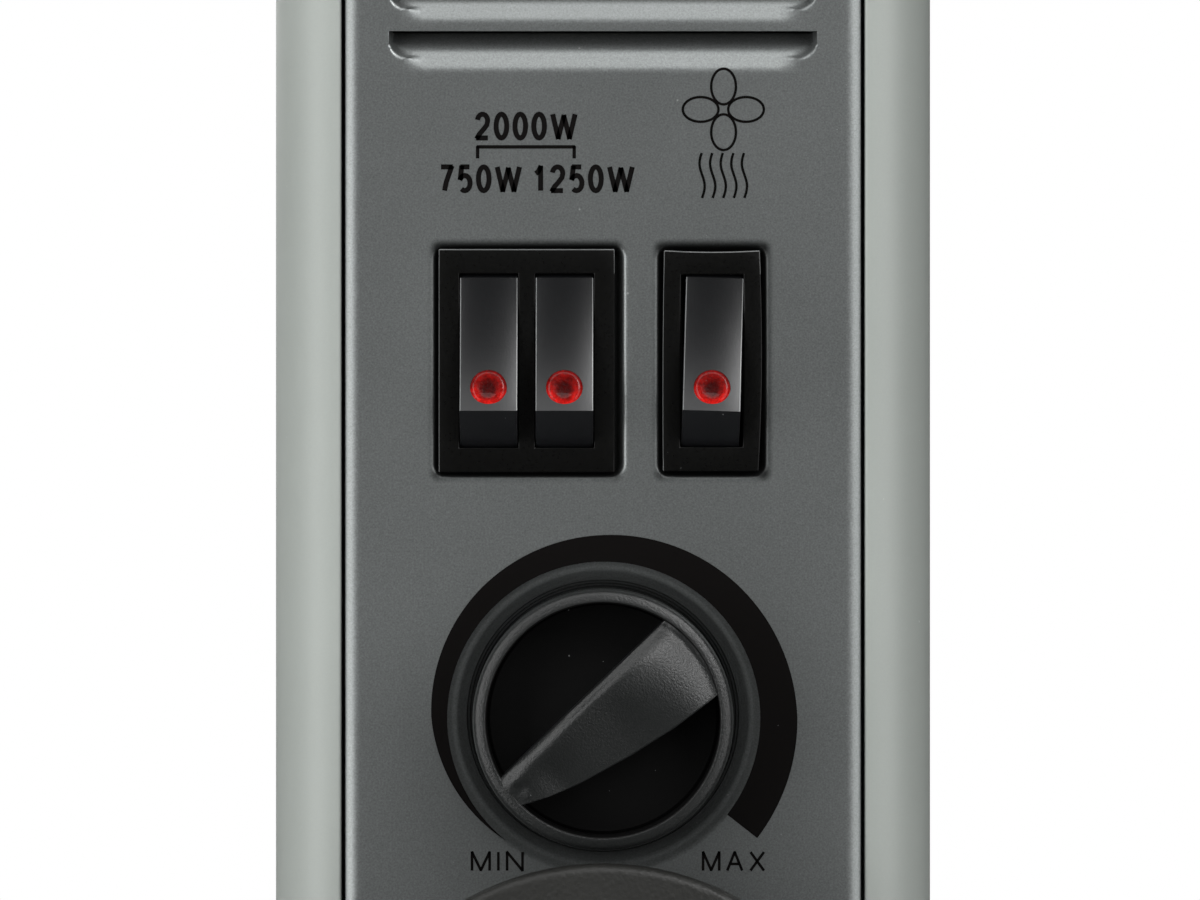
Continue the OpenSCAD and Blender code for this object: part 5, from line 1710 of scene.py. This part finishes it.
@dataclass
class CordWinder(Assembly):
    """The cord winder: an arched horn above and below, on hubs that stand off the panel."""

    arch_radius: float = 38.6
    horn_high: float = 38.0
    horn_thick: float = 4.5
    hub_wide: float = 38.0
    hub_high: float = 18.0

    def build(self) -> None:
        """Builds and places the winder."""
        low, high = box_mm("cord_winder")
        self.low, self.high = low, high
        mid = (low.z + high.z) / 2
        form = Form()
        for sign in (1, -1):
            form.join(self.horn(sign, mid))
            form.join(self.hub(sign, mid))
        tall = high.z - low.z - 2 * self.horn_high + 2 * self.hub_high
        outline = round_rect(self.hub_wide, tall, 4.0, 0.0, mid)
        form.join(slab(outline, high.y - 3.0, high.y, Turn.FRONT, 1.2, 0.0, 4))
        collar = [(r, high.y - back) for r, back in
                  ((3.3, 4.0), (5.6, 4.0), (6.2, 3.4), (6.6, 2.5), (3.3, 2.5))]
        for z in (mid - 16, mid + 16):
            form.join(lathe(collar, 32, Turn.FRONT).moved(z=z))
        obj = form.build("cord_winder_moulding", [WINDER_PLASTIC], angle=35.0, tidy=False)
        self.put(obj, "heater", "winder_plastic", "cord_winder")

    def horn_outline(self, sign: int, mid: float) -> list[Flat]:
        """Returns a horn's outline: an arch outside, a soft curve inside."""
        half = self.high.x
        tip = self.high.z - mid
        centre = tip - self.arch_radius
        swing = math.degrees(math.asin((half - 1.2) / self.arch_radius))
        points = arc(0.0, centre, self.arch_radius, 90 - swing, 90 + swing, 28)
        foot = tip - self.horn_high
        side = points[-1][1]
        left = arc(-half + 4.0, foot + 4.0, 4.0, 180, 270, 6)
        belly = [(-half + 9.0 + (2 * half - 18.0) * t, foot + 1.6 * math.sin(math.pi * t))
                 for t in (i / 10 for i in range(11))]
        right = arc(half - 4.0, foot + 4.0, 4.0, 270, 360, 6)
        outline = points + [(-half, side - 1.4)] + left + belly + right + [(half, side - 1.4)]
        outline = [(u, sign * v + mid) for u, v in outline]
        return outline if sign > 0 else outline[::-1]

    def horn(self, sign: int, mid: float) -> Form:
        """Moulds a horn with a softly crowned face."""
        front = self.low.y
        outline = self.horn_outline(sign, mid)
        return slab(outline, front, front + self.horn_thick, Turn.FRONT, 1.3, 0.8, 5)

    def hub(self, sign: int, mid: float) -> Form:
        """Moulds the hub between a horn and the panel."""
        tip = self.high.z - mid
        z = sign * (tip - self.horn_high + self.hub_high / 2 + 0.2) + mid
        outline = round_rect(self.hub_wide, self.hub_high, 5.0, 0.0, z)
        return slab(outline, self.low.y + self.horn_thick - 1.0, self.high.y - 0.01, Turn.FRONT)


@dataclass
class Radiator(Assembly):
    """Nine pressed fins with folded flaps, joined by their header tubes."""

    count: int = 9
    pitch: float = 40.0
    half: float = 49.0
    bend: float = 5.0
    flap: float = 30.0
    corner: float = 24.0
    gauge: float = 1.2
    hub_radius: float = 22.0
    hubs: Flat = (110.0, 558.0)
    channels: tuple[float, ...] = (-28.0, 0.0, 28.0)
    seam: float = 0.6

    def build(self) -> None:
        """Builds one fin, repeats it, and dresses what closes the headers."""
        low, high = box_mm("fin_1")
        self.bottom, self.top = low.z, high.z
        self.web = high.y - self.pitch / 2
        skin = self.fin().build("fin_pressing_1", [FIN_PAINT], angle=32.0)
        first = self.header(self.pitch / 2).build("header_tube_1", [FIN_PAINT], angle=50.0)
        for i in range(1, self.count + 1):
            fin = skin if i == 1 else self.again(skin, f"fin_pressing_{i}", i)
            self.put(fin, "heater", "fin_paint", f"fin_{i}")
            if i < self.count:
                tube = first if i == 1 else self.again(first, f"header_tube_{i}", i)
                self.put(tube, "heater", "fin_paint")
        end = self.header(8.0).moved(y=self.pitch * (self.count - 1))
        last = end.build(f"header_tube_{self.count}", [FIN_PAINT], angle=50.0)
        self.put(last, "heater", "fin_paint")
        self.dress(FIN_PAINT, "header_caps")
        self.dress(ZINC, "element_head")
        self.dress(SHEATH, "element_750w", "element_1250w")
        self.dress(ALLOY, "overheat_cutout")

    def again(self, first: bpy.types.Object, name: str, place: int) -> bpy.types.Object:
        """Returns another object on the same mesh, in a later place."""
        obj = bpy.data.objects.new(name, first.data)
        obj.location.y = self.pitch * (place - 1) * MM
        bpy.context.scene.collection.objects.link(obj)
        return obj

    def far(self, x: float, z: float) -> float:
        """Returns the signed distance outside the oil channels."""
        parts = []
        for c in self.channels:
            top, low = self.hubs[1] + 4.0, self.hubs[0] - 4.0
            parts.append(math.hypot(x - c, max(z - top, low - z, 0.0)) - 10.0)
        for hub in self.hubs:
            parts.append(math.hypot(x, z - hub) - 30.0)
            dx, dz = max(abs(x) - 26.0, 0.0), max(abs(z - hub) - 6.0, 0.0)
            parts.append(math.hypot(dx, dz) - 2.0)
        k = 3.0
        return -k * math.log(sum(math.exp(-p / k) for p in parts)) + 0.6

    def swell(self, x: float, z: float) -> float:
        """Returns how far the sheet stands off the fin's middle plane."""
        far = self.far(x, z)
        height = 1.2 + 4.2 * (1.0 - smooth(-4.2, 1.2, far))
        height -= 0.35 * math.exp(-((far - 3.6) / 0.9) ** 2)
        near = min(math.hypot(x, z - hub) for hub in self.hubs)
        return height + 1.3 * (1.0 - smooth(self.hub_radius, self.hub_radius + 4.5, near))

    def stops(self, web_half: float) -> list[float]:
        """Returns the fin's columns across its web, close together at the channels' walls."""
        wall = (-12.5, -11.4, -10.3, -9.2, -8.1, -7.0, -5.5, -3.5, 0.0)
        steps = [*wall, *(-d for d in wall[:-1])]
        stops = [c + d for c in self.channels for d in steps]
        ends = [-web_half, -42.2, 42.2, web_half, -14.0, 14.0]
        return sorted({round(x, 3) for x in stops + ends})

    def flank(self, half: float, grow: float) -> tuple[list[Flat], list[Flat]]:
        """Returns the folded flap at the right of a row, as its outer and inner points (x, y).

        Args:
            half: Half the width of the web at this row.
            grow: How far the flap has grown, from 0 at the rounded ends to 1.

        Returns:
            The outer points and the inner points, from the web outwards.
        """
        g = self.seam
        outer, inner = [], []
        for a in map(math.radians, (18, 36, 54, 72, 90)):
            fx, fy = math.sin(a), 1 - math.cos(a)
            x, y = half + self.bend * fx * grow, -self.bend * fy * grow
            outer.append((x - fx * g * grow, y - g))
            inner.append((x, y + g * (1 - fy) + 0.05))
        for d in (5.0, 9.0, 19.0, 28.6, self.flap - self.gauge):
            outer.append((half + (self.bend - self.gauge) * grow, -g - d * grow))
            inner.append((half + self.bend * grow, 0.1 - g - d * grow))
        return outer, inner

    def fin(self) -> Form:
        """Presses a fin: two skins round the oil channels, and a flap folded at each side."""
        web_half = self.half - self.bend
        stops = self.stops(web_half)
        ends = span(0.0, 6.0, 1.0) + span(6.0, 24.0, 2.0) + span(24.0, 84.0, 2.2)
        levels = [self.bottom + d for d in ends] + span(self.bottom + 84.0, self.top - 84.0, 30.0)
        levels += [self.top - 84.0] + [self.top - d for d in reversed(ends)]
        rows = []
        for z in levels:
            away = min(z - self.bottom, self.top - z)
            left = self.corner - away
            half, grow = web_half, 0.0
            if left > 0.0:
                half += math.sqrt(max(0.0, self.corner ** 2 - left ** 2)) - self.corner
            else:
                grow = math.sqrt(max(0.0, 1 - (1 - min(1.0, -left / 26.0)) ** 2))
            outer, inner = self.flank(half, grow)
            pinch = 2.0 if grow > 0.0 else 3.0
            web = []
            for x in stops:
                u = x * half / web_half
                rise = (self.swell(u, z) - self.seam) * smooth(0.0, pinch, half - abs(u))
                web.append((u, self.seam + rise))
            front = [(-x, y) for x, y in reversed(outer)] + [(x, -h) for x, h in web] + outer
            back = [(-x, y) for x, y in reversed(inner)] + web + inner
            rows.append([(x, self.web + y, z) for x, y in front + back[::-1]])
        return grid(rows, around=True, caps=True)

    def header(self, back: float) -> Form:
        """Turns a fin's two header tubes, with the weld bead at each joint.

        Args:
            back: How far the tubes reach behind the fin.

        Returns:
            Both tubes.
        """
        form = Form()
        r, front = self.hub_radius, -self.pitch / 2
        profile = [(r - 1.6, front), (r + 0.25, front), (r + 0.55, front + 0.5),
                   (r + 0.5, front + 1.1), (r + 0.05, front + 1.6), (r, front + 2.2)]
        profile += [(r, -9.0), (r + 0.6, -7.6), (r + 1.8, -6.4), (r + 3.6, -5.6), (r + 3.6, 5.6)]
        profile += [(r + 1.8, 6.4), (r + 0.6, 7.4), (r, 7.9)]
        if back > 9.0:
            profile += [(r, back - 2.2), (r + 0.05, back - 1.6), (r + 0.5, back - 1.1),
                        (r + 0.55, back - 0.5)]
        profile += [(r + 0.2, back - 0.02), (r - 1.6, back - 0.02)]
        for hub in self.hubs:
            form.join(lathe(profile, 72, Turn.FRONT).moved(y=self.web, z=hub))
        return form


@dataclass
class CarryHandle(Assembly):
    """The bowed carrying handle on the housing's top."""

    leg: float = 12.0
    grip: float = 16.0
    turn_radius: float = 15.0
    rib_depth: float = 0.22
    squareness: float = 0.55

    def build(self) -> None:
        """Builds and places the handle."""
        low, high = box_mm("carry_handle")
        half, depth = high.x, high.y - low.y
        cy = (low.y + high.y) / 2
        x = half - self.leg / 2
        top = high.z - self.grip / 2
        r = self.turn_radius
        path = [(-x, cy, z) for z in span(low.z + 0.2, top - r, 3.0)]
        turns = [math.radians(6 * i) for i in range(16)]
        path += [(-x + r - r * math.cos(a), cy, top - r + r * math.sin(a)) for a in turns]
        path += [(u, cy, top) for u in span(-x + r, x - r, 2.5)[1:]]
        path += [(x - r + r * math.sin(a), cy, top - r + r * math.cos(a)) for a in turns]
        path += [(x, cy, z) for z in reversed(span(low.z + 0.2, top - r, 3.0))]

        def section(index: int) -> list[Flat]:
            """Returns a soft rectangle, thickest in the middle of the grip, with fine ribs."""
            px = path[index][0]
            swell = 1 - smooth(0.0, 14.0, abs(px) - (x - 14.0))
            thick = self.leg + (self.grip - self.leg) * swell
            wide = depth - 2.0 * (1 - abs(px) / x) * 0.6
            rib = self.rib_depth * (index % 2) * (1 - smooth(16.0, 20.0, abs(px)))
            points = []
            for a in (2 * math.pi * k / 36 for k in range(36)):
                c, s = math.cos(a), math.sin(a)
                u = math.copysign(abs(c) ** self.squareness, c) * (wide / 2 - rib)
                v = math.copysign(abs(s) ** self.squareness, s) * (thick / 2 - rib)
                points.append((u, v))
            return points

        form = sweep(path, section, Vector((0, 1, 0)))
        for sign in (-1, 1):
            base = round_rect(self.leg + 3.0, depth, 4.0, sign * (half - (self.leg + 3.0) / 2), cy)
            form.join(slab(base, low.z, low.z + 2.6, Turn.LEVEL, 0.0, 1.0, 4))
        obj = form.build("handle_moulding", [HANDLE_PLASTIC], angle=50.0, tidy=False)
        self.put(obj, "heater", "handle_plastic", "carry_handle")


@dataclass
class Feet(Assembly):
    """The foot brackets with their bolts, and the four swivel casters."""

    corners: tuple[str, ...] = ("fl", "fr", "rl", "rr")
    wheel_radius: float = 20.0
    wheel_wide: float = 15.0

    def build(self) -> None:
        """Builds the wheels, and dresses the brackets, forks and fasteners."""
        for corner in self.corners:
            self.put(self.wheel(corner), f"roller_{corner}", "wheel_plastic", f"wheel_{corner}")
            self.dress(NYLON, f"caster_fork_{corner}")
            self.dress(ZINC, f"axle_{corner}")
        self.dress(FOOT_PAINT, "foot_front", "foot_rear")
        self.dress(ZINC, "u_bolts", "wing_nuts")

    def wheel(self, corner: str) -> bpy.types.Object:
        """Moulds a wheel: a crowned tread, a dished face with ribs, and a hub.

        Args:
            corner: Which caster it belongs to.

        Returns:
            The wheel.
        """
        low, high = box_mm(f"wheel_{corner}")
        centre = (low + high) / 2
        r, w = self.wheel_radius - 0.02, self.wheel_wide / 2
        side = [(r - 1.6, w), (r - 4.2, w - 0.1), (r - 4.8, w - 0.6), (r - 5.2, w - 3.2),
                (7.4, w - 3.6), (6.8, w - 0.8), (6.2, w - 0.3), (3.4, w - 0.3)]
        tread = [(r - 0.7, w - 0.35), (r - 0.15, w - 1.3), (r, w - 2.8), (r, w - 5.6)]
        tread.append((r - 0.5, w - 6.2))
        tread += [(x, -y) for x, y in reversed(tread)]
        profile = side[::-1] + tread + [(x, -y) for x, y in side]
        form = lathe(profile, 72, Turn.SIDE)
        for sign in (-1, 1):
            for k in range(6):
                outline = round_rect(1.3, r - 11.6, 0.4, 0.0, (r + 2.4) / 2, 2)
                rib = slab(outline, w - 4.2, w - 1.6, Turn.FRONT, 0.0, 0.3, 2)
                rib.mapped(lambda p: (p[1], p[0], p[2])).turned(60.0 * k + 15, "X")
                form.join(rib.mapped(lambda p, s=sign: (p[0] * s, p[1], p[2])))
        form.moved(*centre)
        return form.build(f"caster_wheel_{corner}", [TREAD], angle=35.0)


class Internals(Assembly):
    """What works inside the housing, seen only through the louvres."""

    def build(self) -> None:
        """Dresses the fan, the heater coil, the terminal block, the tilt switch and the leads."""
        self.dress(DUCT, "fan_duct", "tilt_switch_case")
        self.dress(LAMINATE, "fan_motor")
        self.dress(BLADES, "fan_impeller")
        self.dress(MICA, "coil_frame")
        self.dress(COIL, "heater_coil")
        self.dress(IVORY, "terminal_block")
        self.dress(BRASS, "tilt_pendulum")
        self.dress(RUBBER, "cord_gland")
        self.dress(SLEEVE, "wiring")


@dataclass
class Studio:
    """The camera, the soft lights and the pale floor."""

    distance: float = 900.0
    height: float = 385.0
    across: float = -0.42
    lens: float = 194.4
    backdrop: float = 1.0
    fill: float = 0.04

    def build(self) -> None:
        """Builds them all."""
        panel = box_mm("front_panel")[0].y
        scene = bpy.context.scene
        scene.view_settings.view_transform = "Standard"
        data = bpy.data.cameras.new("front_view")
        data.lens, data.sensor_width = self.lens, 36.0
        data.clip_start, data.clip_end = 0.05, 60.0
        camera = bpy.data.objects.new("front_view", data)
        camera.location = (self.across * MM, (panel - self.distance) * MM, self.height * MM)
        camera.rotation_euler = (math.radians(90), 0, 0)
        scene.collection.objects.link(camera)
        scene.camera = camera
        self.world()
        self.floor()
        self.light("overhead_box", (-60, panel - 540, 1230), (0, panel, 400), 1500, 640, 7.4)
        self.light("key_box", (510, panel - 610, 870), (0, panel, 350), 380, 380, 4.2,
                   diffuse=False)
        self.light("left_box", (-700, panel - 560, 430), (0, panel, 430), 520, 1000, 6.2)
        self.light("right_box", (700, panel - 560, 430), (0, panel, 430), 520, 1000, 3.9)
        self.light("front_fill", (-150, panel - 1600, 700), (0, panel, 380), 900, 900, 3.6,
                   glossy=False)
        self.light("back_box", (-800, 1500, 1100), (0, 0, 330), 1100, 1100, 13.0)

    def world(self) -> None:
        """Makes a white backdrop that lights the heater only dimly."""
        world = bpy.data.worlds.new("studio_air")
        bpy.context.scene.world = world
        world.use_nodes = True
        tree = world.node_tree
        tree.nodes.clear()
        path = tree.nodes.new("ShaderNodeLightPath")
        mix = tree.nodes.new("ShaderNodeMix")
        mix.data_type = "RGBA"
        mix.inputs[6].default_value = (self.fill, self.fill * 1.02, self.fill * 1.04, 1.0)
        mix.inputs[7].default_value = (self.backdrop, self.backdrop, self.backdrop, 1.0)
        ground = tree.nodes.new("ShaderNodeBackground")
        out = tree.nodes.new("ShaderNodeOutputWorld")
        tree.links.new(path.outputs["Is Camera Ray"], mix.inputs[0])
        tree.links.new(mix.outputs[2], ground.inputs[0])
        tree.links.new(ground.outputs[0], out.inputs[0])

    def floor(self) -> None:
        """Lays the pale floor."""
        size, level = 3000.0, -0.5
        form = grid([[(x, y, level) for x in (-size, size)] for y in (-size, size)])
        board = FloorBoard("floor_board", (0.86, 0.86, 0.85))
        obj = form.build("studio_floor", [board], tidy=False)
        obj.visible_glossy = False

    def light(
        self, name: str, place: Point, aim: Point, wide: float, high: float, watts: float,
        glossy: bool = True, diffuse: bool = True,
    ) -> None:
        """Hangs a soft rectangular light.

        Args:
            name: Its name.
            place: Where it hangs.
            aim: The point that it faces.
            wide: Its width.
            high: Its height.
            watts: Its power.
            glossy: Whether glossy surfaces mirror it.
            diffuse: Whether it lights surfaces evenly as well.
        """
        data = bpy.data.lights.new(name, "AREA")
        data.shape = "RECTANGLE"
        data.size, data.size_y, data.energy = wide * MM, high * MM, watts
        lamp = bpy.data.objects.new(name, data)
        lamp.location = Vector(place) * MM
        lamp.rotation_euler = (Vector(aim) - Vector(place)).to_track_quat("-Z", "Y").to_euler()
        lamp.visible_glossy, lamp.visible_diffuse, lamp.visible_camera = glossy, diffuse, False
        bpy.context.scene.collection.objects.link(lamp)


def main() -> None:
    """Builds the studio and every sub-assembly."""
    logging.basicConfig(level=logging.INFO, format="%(message)s")
    Studio().build()
    parts: list[Assembly] = [
        FrontPanel(), Housing(), Rockers(), ThermostatKnob(), CordWinder(), Radiator(),
        CarryHandle(), Feet(), Internals(),
    ]
    for part in parts:
        part.build()
        LOG.info("%s done", type(part).__name__)


if __name__ == "__main__":
    main()
